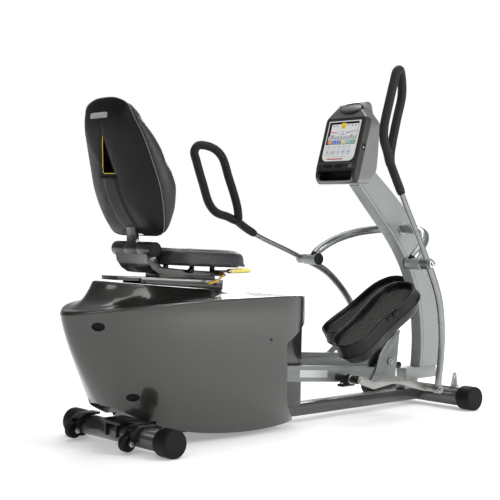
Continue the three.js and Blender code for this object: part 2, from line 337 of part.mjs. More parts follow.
piece('seat_frame', cut(add(plate(frameSide, 92, 98), plate(frameSide, -98, -92), plate(curve, -96, 96), plate([[-50, sl(-50)], [408, sl(408)], [408, sl(408) - 14], [-50, sl(-50) - 14]], -50, 50), plate([[136, sl(136) - 2], [136, 612], [390, plateBot(390) + 1], [390, sl(390) - 2]], -44, 44)), hingeClear), STEEL());
piece('hinge_tube', add(cylY(12, HINGE_X, HINGE_Z, -110, 110, 20), cylY(27, HINGE_X, HINGE_Z, 41.5, 117, 28), cylY(27, HINGE_X, HINGE_Z, -117, -41.5, 28)), DARK());
const postPoly = [[60, 716], [57, 760], [47, 818], [42, 824], [34, 820], [42, 760], [42, 700], [60, 690]];
piece('back_post', cut(add(plate(postPoly, -27, 27), cylY(27, HINGE_X, HINGE_Z, -41, 41, 28)), cylY(12 + GAP, HINGE_X, HINGE_Z, -60, 60, 20)), GRAY());
// backrest outline: lean and half width by height
const backHalf = [[-65, 0, 1234], [-63.5, 70, 1229], [-58, 130, 1205], [-47, 152, 1160], [-24, 172, 1098], [4, 189, 1007], [30, 200, 914], [52, 188, 832], [72, 158, 766], [78, 120, 752], [79, 60, 750], [79, 0, 750]];
const backRing = outline(backHalf, 28);
const bc = [15, 0, 960];
const shrink = (ring, k, dx) => ring.map(p => [bc[0] + (p[0] - bc[0]) * k + dx, p[1] * k, bc[2] + (p[2] - bc[2]) * k]);
const shellRings = [shrink(backRing, 0.3, -66), shrink(backRing, 0.55, -57), shrink(backRing, 0.8, -36), shrink(backRing, 0.94, -14), backRing, shrink(backRing, 0.97, 0), shrink(backRing, 0.91, -9), shrink(backRing, 0.77, -30), shrink(backRing, 0.53, -51), shrink(backRing, 0.28, -60)];
const handHole = new THREE.ExtrudeGeometry(new THREE.Shape([[-4, 1104], [26, 976], [-42, 976]].map(p => new THREE.Vector2(...p))), { depth: 200, bevelEnabled: false }).rotateX(Math.PI / 2).rotateZ(Math.PI / 2).translate(-150, 0, 0);
piece('back_shell', cut(loft(shellRings), handHole, box(-60, 100, -31, 31, 700, 812)), BLACK());
const thick = z => { const T = [[740, 24], [763, 32], [844, 72], [926, 96], [977, 96], [1056, 84], [1139, 62], [1210, 38], [1240, 20]]; for (let i = 1; i < T.length; i++) if (z <= T[i][0]) { const f = (z - T[i - 1][0]) / (T[i][0] - T[i - 1][0]); return T[i - 1][1] + f * (T[i][1] - T[i - 1][1]); } return 20; };
const cush = (k, f, dx = 0) => shrink(backRing, k, 0).map(p => [p[0] + thick(p[2]) * f + dx, p[1], p[2]]);
piece('back_cushion', loft([cush(0.5, 0, 1.5), cush(0.97, 0, 1.2), cush(1.0, 0.12, 1.2), cush(1.02, 0.45), cush(0.97, 0.8), cush(0.85, 0.98), cush(0.5, 1.0)]), BLACK());
const seatHalf = [[520, 0], [508, 62], [470, 122], [412, 166], [330, 190], [230, 196], [150, 188], [108, 160], [97, 120], [95, 60], [95, 0]];
const seatRing = (k, w) => outline(seatHalf.map(p => [p[0], p[1], 0]), 32).map(p => { const x = 300 + (p[0] - 300) * k; return [x, p[1] * k, 711 - (x - 46) * Math.tan(SLOPE) - w]; });
piece('seat_cushion', loft([seatRing(0.93, 58), seatRing(0.99, 50), seatRing(1.0, 32), seatRing(0.98, 10), seatRing(0.9, 1), seatRing(0.5, 0)]), BLACK());
piece('slide_lever', add(cylX(5, -140, 617, 334, 402, 12), cylX(9, -140, 617, 384, 479, 14), cylY(5, 338, 617, -142, -98.6, 12)), mat(0xf0e178, 0.5, 0));
piece('recline_lever', add(sweep([[372, -120, 606], [366, -120, 600], [345, -120, 585], [318, -120, 577], [300, -120, 575]], 5, 5, 8, 10), cylY(5, 370, 605, -124, -98.6, 12)), mat(0xdca028, 0.5, 0));
piece('lock_knob', add(cylY(10, 224, 622, -120, -104, 14), cylY(4, 224, 622, -106, -98.6, 10)), BLACK());

// ---------- console ----------
const shellProf = [[1047, 972], [1052, 1008], [1117, 1224], [1131, 1262], [1160, 1284], [1190, 1281], [1201, 1256], [1193, 1150], [1184, 1046], [1173, 988], [1148, 954], [1100, 945], [1060, 950]];
const cx = 1125, cz = 1110;
const consoleRings = [[-118, 0.80], [-116, 0.93], [-108, 1], [108, 1], [116, 0.93], [118, 0.80]].map(([y, k]) => shellProf.map(p => [cx + (p[0] - cx) * k, y, cz + (p[1] - cz) * k]));
const faceN = [-Math.cos(17 * Math.PI / 180), Math.sin(17 * Math.PI / 180)], faceU = [Math.sin(17 * Math.PI / 180), Math.cos(17 * Math.PI / 180)];
const onFace = (s, d) => [1052 + faceU[0] * (s) + faceN[0] * d, 1008 + faceU[1] * (s) + faceN[1] * d];
const facePocket = plate([onFace(30, 30), onFace(212, 30), onFace(212, -8), onFace(30, -8)], -100, 100);
const trayPocket = plate([[1030, 962], [1030, 1000], [1092, 998], [1096, 972], [1080, 962]], -96, 96);
piece('console_housing', cut(loft(consoleRings), facePocket, trayPocket, plate([...colRear.slice(-2), [1160, 942.5], [1206, 990], [1222, 1026.5], [1238, 1016], [1425, 861]].map(p => [p[0], p[1]]), -30.6, 30.6)), DARK());
piece('console_face', plate([onFace(30.5, 2), onFace(211.5, 2), onFace(211.5, -7.6), onFace(30.5, -7.6)], -99.5, 99.5), LIGHT());

export default group;
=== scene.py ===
import bpy, bmesh, math, json
import numpy as np
from mathutils import Vector, Matrix
from mathutils.bvhtree import BVHTree

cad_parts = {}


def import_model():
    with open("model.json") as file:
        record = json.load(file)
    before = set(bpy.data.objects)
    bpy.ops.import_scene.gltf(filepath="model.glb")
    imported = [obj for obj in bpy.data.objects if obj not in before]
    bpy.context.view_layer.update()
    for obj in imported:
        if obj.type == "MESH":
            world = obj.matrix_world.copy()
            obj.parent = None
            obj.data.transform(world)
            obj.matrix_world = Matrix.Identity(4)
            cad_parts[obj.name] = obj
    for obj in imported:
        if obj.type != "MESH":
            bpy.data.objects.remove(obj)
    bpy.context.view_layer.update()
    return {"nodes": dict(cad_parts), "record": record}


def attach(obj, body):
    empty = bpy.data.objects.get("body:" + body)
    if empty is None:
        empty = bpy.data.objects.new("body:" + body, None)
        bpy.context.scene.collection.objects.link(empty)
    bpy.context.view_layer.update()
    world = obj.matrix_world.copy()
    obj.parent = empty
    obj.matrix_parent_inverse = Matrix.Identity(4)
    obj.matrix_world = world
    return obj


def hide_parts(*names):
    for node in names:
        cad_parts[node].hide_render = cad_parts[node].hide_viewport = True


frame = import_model()
OX = 713.5
scene = bpy.context.scene
BODY = {n: b for b, l in frame["record"]["behaviour"]["bodies"].items() for n in l}

# ------------------------------------------------------------------ camera, floor and light
cam_data = bpy.data.cameras.new("camera")
cam_data.lens = 89.18
cam_data.sensor_width = 36
cam_data.clip_end = 200
cam = bpy.data.objects.new("camera", cam_data)
scene.collection.objects.link(cam)
cam.location = (-3.19086, -3.65801, 0.84255)
cam.rotation_euler = (math.radians(88.13), 0, math.radians(-40.05))
scene.camera = cam
scene.view_settings.view_transform = 'Standard'
scene.view_settings.look = 'None'

world = bpy.data.worlds.new("studio")
scene.world = world
world.use_nodes = True
wn, wl = world.node_tree.nodes, world.node_tree.links
wn.clear()
w_out = wn.new("ShaderNodeOutputWorld")
w_mix = wn.new("ShaderNodeMixShader")
w_lp = wn.new("ShaderNodeLightPath")
w_white = wn.new("ShaderNodeBackground")
w_white.inputs[0].default_value = (1, 1, 1, 1)
w_white.inputs[1].default_value = 1.0
w_env = wn.new("ShaderNodeBackground")
w_tc = wn.new("ShaderNodeTexCoord")
w_sep = wn.new("ShaderNodeSeparateXYZ")
w_ramp = wn.new("ShaderNodeValToRGB")
w_map = wn.new("ShaderNodeMapRange")
w_map.inputs[1].default_value = -0.1
w_map.inputs[2].default_value = 1.0
wl.new(w_tc.outputs["Generated"], w_sep.inputs[0])
wl.new(w_sep.outputs[2], w_map.inputs[0])
wl.new(w_map.outputs[0], w_ramp.inputs[0])
cr = w_ramp.color_ramp
cr.elements[0].position = 0.0
cr.elements[0].color = (0.80, 0.80, 0.80, 1)
cr.elements[1].position = 1.0
cr.elements[1].color = (1.0, 1.0, 1.0, 1)
for pos, v in ((0.10, 0.95), (0.20, 0.62), (0.36, 0.30), (0.55, 0.26), (0.75, 0.70)):
    e = cr.elements.new(pos)
    e.color = (v, v, v * 1.01, 1)
wl.new(w_ramp.outputs[0], w_env.inputs[0])
w_side = wn.new("ShaderNodeMapRange")
w_side.inputs[1].default_value = -0.9
w_side.inputs[2].default_value = 0.4
w_side.inputs[3].default_value = 0.26
w_side.inputs[4].default_value = 0.68
wl.new(w_sep.outputs[0], w_side.inputs[0])
wl.new(w_side.outputs[0], w_env.inputs[1])
wl.new(w_lp.outputs["Is Camera Ray"], w_mix.inputs[0])
wl.new(w_env.outputs[0], w_mix.inputs[1])
wl.new(w_white.outputs[0], w_mix.inputs[2])
wl.new(w_mix.outputs[0], w_out.inputs[0])


def area(name, loc, target, size, power, size_y=None):
    d = bpy.data.lights.new(name, 'AREA')
    d.shape = 'RECTANGLE'
    d.size = size
    d.size_y = size_y or size
    d.energy = power
    o = bpy.data.objects.new(name, d)
    scene.collection.objects.link(o)
    o.location = loc
    o.rotation_euler = (Vector(target) - Vector(loc)).to_track_quat('-Z', 'Y').to_euler()
    return o


area("key", (-3.6, -1.6, 3.0), (0.1, 0, 0.5), 2.6, 34, 1.4)
area("top", (0.3, 0.2, 3.6), (0.2, 0, 0.4), 3.0, 60)
area("rim", (2.6, 3.0, 2.2), (0.2, 0, 0.6), 1.6, 60, 2.2)
area("front", (1.5, -4.2, 2.4), (0.3, 0, 0.55), 1.8, 125, 2.2)


# ------------------------------------------------------------------ materials
def nodes_of(m):
    m.use_nodes = True
    return m.node_tree.nodes, m.node_tree.links


def mk(name, base, rough, metal=0.0, coat=0.0, var=0.12, vscale=14.0, kind='fine', bscale=900.0, bump=0.2, bdist=0.0003,
       edge=0.0, rvar=0.08, sheen=0.0, spec=0.5, coat_rough=0.05, dust=0.0):
    """Procedural finish. Coordinates are the object's own, in metres, so grain has its real size on every piece."""
    m = bpy.data.materials.new(name)
    N, L = nodes_of(m)
    p = N["Principled BSDF"]
    tc = N.new("ShaderNodeTexCoord")
    co = tc.outputs["Object"]

    def noise(scale, detail=3.0, rough_=0.55, src=co):
        n = N.new("ShaderNodeTexNoise")
        n.inputs["Scale"].default_value = scale
        n.inputs["Detail"].default_value = detail
        n.inputs["Roughness"].default_value = rough_
        L.new(src, n.inputs["Vector"])
        return n

    def mul(vec, s):
        v = N.new("ShaderNodeVectorMath")
        v.operation = 'MULTIPLY'
        L.new(vec, v.inputs[0])
        v.inputs[1].default_value = s
        return v.outputs[0]

    big = noise(vscale, 4)
    ramp = N.new("ShaderNodeValToRGB")
    b = np.array(base)
    ramp.color_ramp.elements[0].position = 0.30
    ramp.color_ramp.elements[1].position = 0.70
    ramp.color_ramp.elements[0].color = (*np.clip(b * (1 - var), 0, 1), 1)
    ramp.color_ramp.elements[1].color = (*np.clip(b * (1 + var), 0, 1), 1)
    L.new(big.outputs[0], ramp.inputs[0])
    col = ramp.outputs[0]
    if kind == 'flake':
        v = N.new("ShaderNodeTexVoronoi")
        v.inputs["Scale"].default_value = 1400
        L.new(co, v.inputs["Vector"])
        hs = N.new("ShaderNodeMixRGB")
        hs.blend_type = 'MULTIPLY'
        hs.inputs[0].default_value = 0.28
        L.new(col, hs.inputs[1])
        bw = N.new("ShaderNodeSeparateColor")
        L.new(v.outputs["Color"], bw.inputs[0])
        mr = N.new("ShaderNodeMapRange")
        mr.inputs[3].default_value = 0.55
        mr.inputs[4].default_value = 1.6
        L.new(bw.outputs[0], mr.inputs[0])
        L.new(mr.outputs[0], hs.inputs[2])
        col = hs.outputs[0]
    if edge > 0:
        g = N.new("ShaderNodeNewGeometry")
        r2 = N.new("ShaderNodeMapRange")
        r2.inputs[1].default_value = 0.52
        r2.inputs[2].default_value = 0.60
        L.new(g.outputs["Pointiness"], r2.inputs[0])
        sc = noise(160, 3)
        mm = N.new("ShaderNodeMath")
        mm.operation = 'MULTIPLY'
        L.new(r2.outputs[0], mm.inputs[0])
        L.new(sc.outputs[0], mm.inputs[1])
        mx = N.new("ShaderNodeMixRGB")
        mx.blend_type = 'MIX'
        L.new(mm.outputs[0], mx.inputs[0])
        L.new(col, mx.inputs[1])
        lift = np.clip(b + edge, 0, 1)
        mx.inputs[2].default_value = (*lift, 1)
        col = mx.outputs[0]
    if dust > 0:
        g = N.new("ShaderNodeNewGeometry")
        sp = N.new("ShaderNodeSeparateXYZ")
        L.new(g.outputs["Normal"], sp.inputs[0])
        r3 = N.new("ShaderNodeMapRange")
        r3.inputs[1].default_value = 0.55
        r3.inputs[2].default_value = 1.0
        r3.inputs[4].default_value = dust
        L.new(sp.outputs[2], r3.inputs[0])
        dn = noise(45, 5)
        m3 = N.new("ShaderNodeMath")
        m3.operation = 'MULTIPLY'
        L.new(r3.outputs[0], m3.inputs[0])
        L.new(dn.outputs[0], m3.inputs[1])
        mx = N.new("ShaderNodeMixRGB")
        L.new(m3.outputs[0], mx.inputs[0])
        L.new(col, mx.inputs[1])
        mx.inputs[2].default_value = (0.55, 0.54, 0.52, 1)
        col = mx.outputs[0]
    L.new(col, p.inputs["Base Color"])
    rn = noise(vscale * 3.1, 5, 0.65)
    rr = N.new("ShaderNodeMapRange")
    rr.inputs[1].default_value = 0.3
    rr.inputs[2].default_value = 0.7
    rr.inputs[3].default_value = max(0.02, rough - rvar)
    rr.inputs[4].default_value = min(1, rough + rvar)
    L.new(rn.outputs[0], rr.inputs[0])
    L.new(rr.outputs[0], p.inputs["Roughness"])
    p.inputs["Metallic"].default_value = metal
    p.inputs["Specular IOR Level"].default_value = spec
    p.inputs["Coat Weight"].default_value = coat
    p.inputs["Coat Roughness"].default_value = coat_rough
    p.inputs["Sheen Weight"].default_value = sheen
    bp = N.new("ShaderNodeBump")
    bp.inputs["Strength"].default_value = bump
    bp.inputs["Distance"].default_value = bdist
    if kind == 'grain':
        v = N.new("ShaderNodeTexVoronoi")
        v.feature = 'DISTANCE_TO_EDGE'
        v.inputs["Scale"].default_value = bscale
        warp = noise(bscale * 0.5, 2)
        va = N.new("ShaderNodeVectorMath")
        va.operation = 'MULTIPLY_ADD'
        L.new(warp.outputs["Color"], va.inputs[0])
        va.inputs[1].default_value = (0.0012,) * 3
        L.new(co, va.inputs[2])
        L.new(va.outputs[0], v.inputs["Vector"])
        mr = N.new("ShaderNodeMapRange")
        mr.inputs[2].default_value = 0.22
        L.new(v.outputs["Distance"], mr.inputs[0])
        f = noise(bscale * 2.6, 2)
        ad = N.new("ShaderNodeMath")
        ad.operation = 'MULTIPLY_ADD'
        L.new(f.outputs[0], ad.inputs[0])
        ad.inputs[1].default_value = 0.4
        L.new(mr.outputs[0], ad.inputs[2])
        L.new(ad.outputs[0], bp.inputs["Height"])
    elif kind == 'brushed':
        f = noise(bscale, 3, 0.6, mul(co, (0.06, 1.0, 1.0)))
        L.new(f.outputs[0], bp.inputs["Height"])
    elif kind == 'foam':
        v = N.new("ShaderNodeTexVoronoi")
        v.inputs["Scale"].default_value = bscale
        L.new(co, v.inputs["Vector"])
        f = noise(bscale * 0.7, 4, 0.7)
        ad = N.new("ShaderNodeMath")
        ad.operation = 'ADD'
        L.new(v.outputs["Distance"], ad.inputs[0])
        L.new(f.outputs[0], ad.inputs[1])
        L.new(ad.outputs[0], bp.inputs["Height"])
    elif kind == 'flake':
        f = noise(38, 2, 0.4)
        L.new(f.outputs[0], bp.inputs["Height"])
    else:
        f = noise(bscale, 4, 0.6)
        L.new(f.outputs[0], bp.inputs["Height"])
    L.new(bp.outputs[0], p.inputs["Normal"])
    return m


M = {
    "hull": mk("hull_lacquer", (0.038, 0.0382, 0.034), 0.25, metal=0.55, coat=0.9, var=0.03, vscale=3, kind='flake', bump=0.02, bdist=0.0002, rvar=0.02, coat_rough=0.07),
    "hull_in": mk("hull_inside", (0.03, 0.03, 0.03), 0.6, var=0.2, bump=0.3),
    "frame": mk("frame_paint", (0.075, 0.077, 0.073), 0.30, metal=0.5, coat=0.5, var=0.03, kind='fine', bscale=1400, bump=0.06, bdist=0.00015, rvar=0.03),
    "silver": mk("silver_paint", (0.29, 0.31, 0.30), 0.40, metal=0.35, coat=0.15, var=0.03, kind='fine', bscale=1500, bump=0.10, bdist=0.00015),
    "arm": mk("arm_paint", (0.24, 0.255, 0.245), 0.26, metal=0.75, coat=0.3, var=0.03, kind='fine', bscale=1500, bump=0.06, bdist=0.00015, rvar=0.03),
    "gray": mk("gray_paint", (0.17, 0.18, 0.18), 0.36, metal=0.35, coat=0.3, var=0.04, kind='fine', bscale=1400, bump=0.12, bdist=0.0002, rvar=0.04, dust=0.02),
    "seatmetal": mk("seat_metal_paint", (0.065, 0.066, 0.062), 0.23, metal=0.7, coat=0.3, var=0.04, bscale=1400, bump=0.12, bdist=0.0002, rvar=0.04),
    "zinc": mk("zinc_plate", (0.33, 0.335, 0.315), 0.33, metal=0.8, var=0.06, vscale=30, kind='brushed', bscale=900, bump=0.2, bdist=0.0002, rvar=0.08),
    "steel": mk("bolt_steel", (0.60, 0.60, 0.58), 0.25, metal=1.0, var=0.08, vscale=60, kind='brushed', bscale=1500, bump=0.2, bdist=0.0001, rvar=0.08),
    "blackmetal": mk("black_enamel", (0.009, 0.009, 0.009), 0.34, coat=0.25, var=0.12, bump=0.12, spec=0.3),
    "rubber": mk("cap_rubber", (0.005, 0.005, 0.005), 0.60, var=0.2, vscale=25, kind='foam', bscale=1500, bump=0.25, bdist=0.0002, spec=0.22),
    "foam": mk("grip_foam", (0.006, 0.0063, 0.0066), 0.62, var=0.2, vscale=22, kind='foam', bscale=1100, bump=0.5, bdist=0.0004, sheen=0.03, spec=0.3),
    "tray": mk("tray_plastic", (0.0045, 0.0047, 0.005), 0.36, var=0.12, bscale=1100, bump=0.25, bdist=0.0003, spec=0.25),
    "tread": mk("tread_rubber", (0.050, 0.046, 0.041), 0.62, var=0.15, vscale=30, kind='foam', bscale=1200, bump=0.4, bdist=0.0003, dust=0.05, spec=0.35),
    "shell": mk("shell_plastic", (0.005, 0.005, 0.005), 0.44, var=0.10, bscale=900, bump=0.4, bdist=0.0003, spec=0.22),
    "vinyl": mk("vinyl_dark", (0.011, 0.013, 0.015), 0.40, var=0.05, vscale=9, kind='grain', bscale=560, bump=0.35, bdist=0.0004, sheen=0.04, spec=0.42),
    # piping colour: a silver-grey bead whose paleness is a painted highlight of the shell rim
    "piping": mk("piping_silver_painted_highlight", (0.13, 0.13, 0.125), 0.42, metal=0.2, var=0.08, kind='grain', bscale=900, bump=0.25),
    "yellow": mk("grip_yellow", (0.90, 0.74, 0.20), 0.42, var=0.06, kind='foam', bscale=900, bump=0.25, edge=0.05),
    "orange": mk("lever_orange", (0.72, 0.40, 0.035), 0.30, var=0.08, bump=0.15, coat=0.4, edge=0.05),
    "yline": mk("line_yellow", (0.55, 0.44, 0.03), 0.45, var=0.08, bump=0.15),
    "con_dark": mk("console_dark", (0.026, 0.0265, 0.025), 0.40, var=0.08, bscale=1100, bump=0.3, bdist=0.00025, spec=0.45),
    "con_silver": mk("console_silver", (0.22, 0.225, 0.22), 0.32, metal=0.55, coat=0.3, var=0.04, bscale=1500, bump=0.12, rvar=0.03),
    "con_black": mk("console_black", (0.006, 0.006, 0.0065), 0.62, var=0.2, bump=0.2, spec=0.2),
    "overlay": mk("overlay_white", (0.82, 0.83, 0.82), 0.45, var=0.03, vscale=40, bump=0.12, bscale=1500, spec=0.25),
    "blank": mk("blank_plate", (0.50, 0.51, 0.51), 0.34, metal=0.5, var=0.02, kind='fine', bscale=1500, bump=0.06, rvar=0.02),
}


def ink(name, c, rough=0.35, ink_painted_glow=0.0):
    c = tuple(0.92 * k for k in c)
    # painted glow: emission makes the printed inks shine by themselves, though they are no lamp
    ink_painted_glow *= 0.15
    m = mk(name, c, 0.5, var=0.06, vscale=120, bump=0.08, bscale=1500, spec=0.15)
    if ink_painted_glow:
        p = m.node_tree.nodes["Principled BSDF"]
        p.inputs["Emission Color"].default_value = (*c, 1)
        p.inputs["Emission Strength"].default_value = ink_painted_glow
    return m


I = {
    "white": ink("ink_white", (0.80, 0.81, 0.84), ink_painted_glow=0.25), "gray": ink("ink_gray", (0.28, 0.28, 0.30), ink_painted_glow=0.1),
    "lgray": ink("ink_light", (0.55, 0.56, 0.58), ink_painted_glow=0.15), "black": ink("ink_black", (0.01, 0.01, 0.012)),
    "red": ink("ink_red", (0.60, 0.06, 0.06), ink_painted_glow=0.15), "orange": ink("ink_orange", (0.90, 0.30, 0.02), ink_painted_glow=0.3),
    "blue": ink("ink_blue", (0.04, 0.16, 0.65), ink_painted_glow=0.3), "yellow": ink("ink_yellow", (0.88, 0.70, 0.03), ink_painted_glow=0.3),
    "cyan": ink("ink_cyan", (0.10, 0.55, 0.72), ink_painted_glow=0.3), "green": ink("ink_green", (0.06, 0.42, 0.07), ink_painted_glow=0.3),
    "tan": ink("ink_tan", (0.62, 0.55, 0.38)), "violet": ink("ink_violet", (0.42, 0.40, 0.58)), "mint": ink("ink_mint", (0.60, 0.72, 0.60)),
    "pale": ink("ink_pale_blue", (0.45, 0.55, 0.72)),
}


# ------------------------------------------------------------------ mesh helpers (millimetres in, metres out)
def S(p):
    return ((p[0] - OX) / 1000.0, p[1] / 1000.0, p[2] / 1000.0)


def catmull(pts, closed, n):
    """Centripetal Catmull-Rom through pts: n points round a closed curve, n + 1 along an open one."""
    P = [np.array(p, float) for p in pts]
    l = len(P)
    out = []
    total = n if closed else n + 1
    for k in range(total):
        t = k / n
        q = (l if closed else l - 1) * t
        i = int(math.floor(q))
        w = q - i
        if not closed and i >= l - 1:
            i, w = l - 2, 1.0
        if closed:
            p0, p1, p2, p3 = P[(i - 1) % l], P[i % l], P[(i + 1) % l], P[(i + 2) % l]
        else:
            p1, p2 = P[i], P[i + 1]
            p0 = P[i - 1] if i > 0 else 2 * P[0] - P[1]
            p3 = P[i + 2] if i + 2 < l else 2 * P[l - 1] - P[l - 2]
        d = [max(1e-6, float(np.dot(b - a, b - a)) ** 0.25) for a, b in ((p0, p1), (p1, p2), (p2, p3))]
        if d[0] < 1e-4:
            d[0] = d[1]
        if d[2] < 1e-4:
            d[2] = d[1]
        t1 = ((p1 - p0) / d[0] - (p2 - p0) / (d[0] + d[1]) + (p2 - p1) / d[1]) * d[1]
        t2 = ((p2 - p1) / d[1] - (p3 - p1) / (d[1] + d[2]) + (p3 - p2) / d[2]) * d[1]
        out.append((2 * p1 - 2 * p2 + t1 + t2) * w ** 3 + (-3 * p1 + 3 * p2 - 2 * t1 - t2) * w ** 2 + t1 * w + p1)
    return np.array(out)


def respace(P, n, closed=False):
    """n evenly spaced points along a polyline."""
    P = np.asarray(P, float)
    if closed:
        P = np.vstack([P, P[:1]])
    s = np.concatenate([[0], np.cumsum(np.linalg.norm(np.diff(P, axis=0), axis=1))])
    u = np.linspace(0, s[-1], n + 1 if closed else n)
    R = np.stack([np.interp(u, s, P[:, k]) for k in range(P.shape[1])], 1)
    return R[:-1] if closed else R


def outline(half, n):
    other = [(p[0], -p[1], p[2]) for p in half if p[1] > 1e-6][::-1]
    return catmull(list(half) + other, True, n)


def inset(ring, d, dz=0.0):
    a, b = np.roll(ring, 1, 0), np.roll(ring, -1, 0)
    t = (b - a)[:, :2]
    t /= np.maximum(np.linalg.norm(t, axis=1, keepdims=True), 1e-9)
    n = np.stack([-t[:, 1], t[:, 0]], 1)
    c = ring[:, :2].mean(0)
    s = np.where(((c - ring[:, :2]) * n).sum(1) < 0, -1.0, 1.0)[:, None]
    r = ring.copy()
    r[:, :2] += n * s * d
    r[:, 2] += dz
    return r


def obj(name, verts, faces, mat=None, smooth=35, mm=True):
    me = bpy.data.meshes.new(name)
    v = [S(p) for p in verts] if mm else [tuple(p) for p in verts]
    me.from_pydata(v, [], faces)
    me.validate()
    bm = bmesh.new()
    bm.from_mesh(me)
    bmesh.ops.remove_doubles(bm, verts=bm.verts, dist=1e-6)
    bmesh.ops.recalc_face_normals(bm, faces=bm.faces)
    bm.to_mesh(me)
    bm.free()
    o = bpy.data.objects.new(name, me)
    scene.collection.objects.link(o)
    if mat:
        me.materials.append(mat)
    shade(o, smooth)
    return o


def shade(o, angle=35):
    me = o.data
    me.polygons.foreach_set("use_smooth", [True] * len(me.polygons))
    me.set_sharp_from_angle(angle=math.radians(angle))
    me.update()


def loft(name, rings, mat=None, caps=True, loop_rings=False, smooth=35, closed=True):
    R, n = len(rings), len(rings[0])
    v = [tuple(p) for r in rings for p in r]
    f = []
    for r in range(R if loop_rings else R - 1):
        for i in range(n if closed else n - 1):
            a, b = r * n + i, r * n + (i + 1) % n
            c, d = ((r + 1) % R) * n + i, ((r + 1) % R) * n + (i + 1) % n
            f.append((a, b, d, c))
    if caps and not loop_rings and closed:
        for r in (0, R - 1):
            ctr = np.mean([v[r * n + i] for i in range(n)], axis=0)
            ci = len(v)
            v.append(tuple(ctr))
            for i in range(n):
                a, b = r * n + i, r * n + (i + 1) % n
                f.append((ci, b, a) if r == 0 else (ci, a, b))
    return obj(name, v, f, mat, smooth)


def frames(P, closed=False, ref=None):
    """Tangent, normal and binormal along a polyline, without twist."""
    n = len(P)
    T = (np.roll(P, -1, 0) - np.roll(P, 1, 0)) if closed else np.gradient(P, axis=0)
    T /= np.linalg.norm(T, axis=1, keepdims=True)
    if ref is not None:
        N = np.array(ref, float)[None] - (T @ np.array(ref, float))[:, None] * T
        N /= np.linalg.norm(N, axis=1, keepdims=True)
        return T, N, np.cross(T, N)
    N = np.zeros_like(P)
    a = np.eye(3)[np.argmin(np.abs(T[0]))]
    v = a - T[0] * (a @ T[0])
    N[0] = v / np.linalg.norm(v)
    for i in range(1, n):
        v = N[i - 1] - T[i] * (N[i - 1] @ T[i])
        N[i] = v / np.linalg.norm(v)
    if closed:
        v = N[-1] - T[0] * (N[-1] @ T[0])
        v /= np.linalg.norm(v)
        ang = math.atan2(np.dot(np.cross(v, N[0]), T[0]), np.dot(v, N[0]))
        for i in range(n):
            th = ang * i / n
            c, s = math.cos(th), math.sin(th)
            N[i] = N[i] * c + np.cross(T[i], N[i]) * s
    return T, N, np.cross(T, N)


def tube(name, P, a, mat, b=None, seg=28, closed=False, ref=None, taper=None, smooth=50, round_end=0.0):
    """Tube of elliptical section along P. a, b are the half widths; taper gives a factor at each point."""
    P = np.asarray(P, float)
    b = b or a
    T, N, B = frames(P, closed, ref)
    k = np.ones(len(P)) if taper is None else np.asarray(taper)
    ang = np.linspace(0, 2 * math.pi, seg, endpoint=False)
    rings = [P[i] + k[i] * (a * np.cos(ang)[:, None] * N[i] + b * np.sin(ang)[:, None] * B[i]) for i in range(len(P))]
    if round_end and not closed:
        r0 = [P[0] - T[0] * round_end * math.sin(t) * a + math.cos(t) * (rings[0] - P[0]) for t in (1.35, 0.95, 0.5)]
        r1 = [P[-1] + T[-1] * round_end * math.sin(t) * a + math.cos(t) * (rings[-1] - P[-1]) for t in (0.5, 0.95, 1.35)]
        rings = r0 + rings + r1
    return loft(name, rings, mat, caps=not closed, loop_rings=closed, smooth=smooth)


def lathe(name, prof, centre, mat, axis='Y', seg=48, smooth=35):
    """prof is (radius, distance along the axis); centre in mm."""
    v, f = [], []
    ang = np.linspace(0, 2 * math.pi, seg, endpoint=False)
    cx, cy, cz = centre
    for r, h in prof:
        for t in ang:
            c, s = r * math.cos(t), r * math.sin(t)
            v.append({'Y': (cx + c, cy + h, cz + s), 'X': (cx + h, cy + c, cz + s), 'Z': (cx + c, cy + s, cz + h)}[axis])
    R = len(prof)
    closed_prof = prof[0][0] > 1e-6
    for i in range(R if closed_prof else R - 1):
        for j in range(seg):
            k = (i + 1) % R
            f.append((i * seg + j, i * seg + (j + 1) % seg, k * seg + (j + 1) % seg, k * seg + j))
    return obj(name, v, f, mat, smooth)


def plate(name, pts, y0, y1, mat, bevel=1.2, place=None, smooth=35, segs=2):
    """Outline in the XZ plane (or in place()'s plane) between two distances, with softened edges."""
    n = len(pts)
    v = [(p[0], y, p[1]) for y in (y0, y1) for p in pts]
    if place:
        v = [place(p[0], p[1], y) for y in (y0, y1) for p in pts]
    f = [tuple(range(n)), tuple(range(2 * n - 1, n - 1, -1))] + [(i, (i + 1) % n, n + (i + 1) % n, n + i) for i in range(n)]
    o = obj(name, v, f, mat, smooth)
    if bevel:
        bake(o, [("BEVEL", dict(width=bevel / 1000, segments=segs, limit_method='ANGLE', angle_limit=math.radians(30), use_clamp_overlap=True))], smooth)
    return o


def bake(o, mods, smooth=None):
    """Adds modifiers and applies them."""
    for kind, kw in mods:
        m = o.modifiers.new(kind, kind)
        for k, val in kw.items():
            setattr(m, k, val)
    dg = bpy.context.evaluated_depsgraph_get()
    me = bpy.data.meshes.new_from_object(o.evaluated_get(dg))
    o.modifiers.clear()
    old = o.data
    o.data = me
    if old.users == 0:
        bpy.data.meshes.remove(old)
    if smooth:
        shade(o, smooth)
    return o


def carve(o, cutters, smooth=35, op='DIFFERENCE'):
    for c in cutters:
        bake(o, [("BOOLEAN", dict(operation=op, object=c, solver='EXACT'))])
    for c in cutters:
        me = c.data
        bpy.data.objects.remove(c)
        bpy.data.meshes.remove(me)
    shade(o, smooth)
    return o


def boxm(name, x0, x1, y0, y1, z0, z1, mat=None, bevel=0.0):
    v = [(x, y, z) for x in (x0, x1) for y in (y0, y1) for z in (z0, z1)]
    f = [(0, 1, 3, 2), (4, 6, 7, 5), (0, 4, 5, 1), (2, 3, 7, 6), (0, 2, 6, 4), (1, 5, 7, 3)]
    o = obj(name, v, f, mat)
    if bevel:
        bake(o, [("BEVEL", dict(width=bevel / 1000, segments=2, limit_method='ANGLE'))], 35)
    return o


def put(o, body, slot, *replaced):
    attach(o, body)
    if replaced:
        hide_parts(*replaced)
    return o


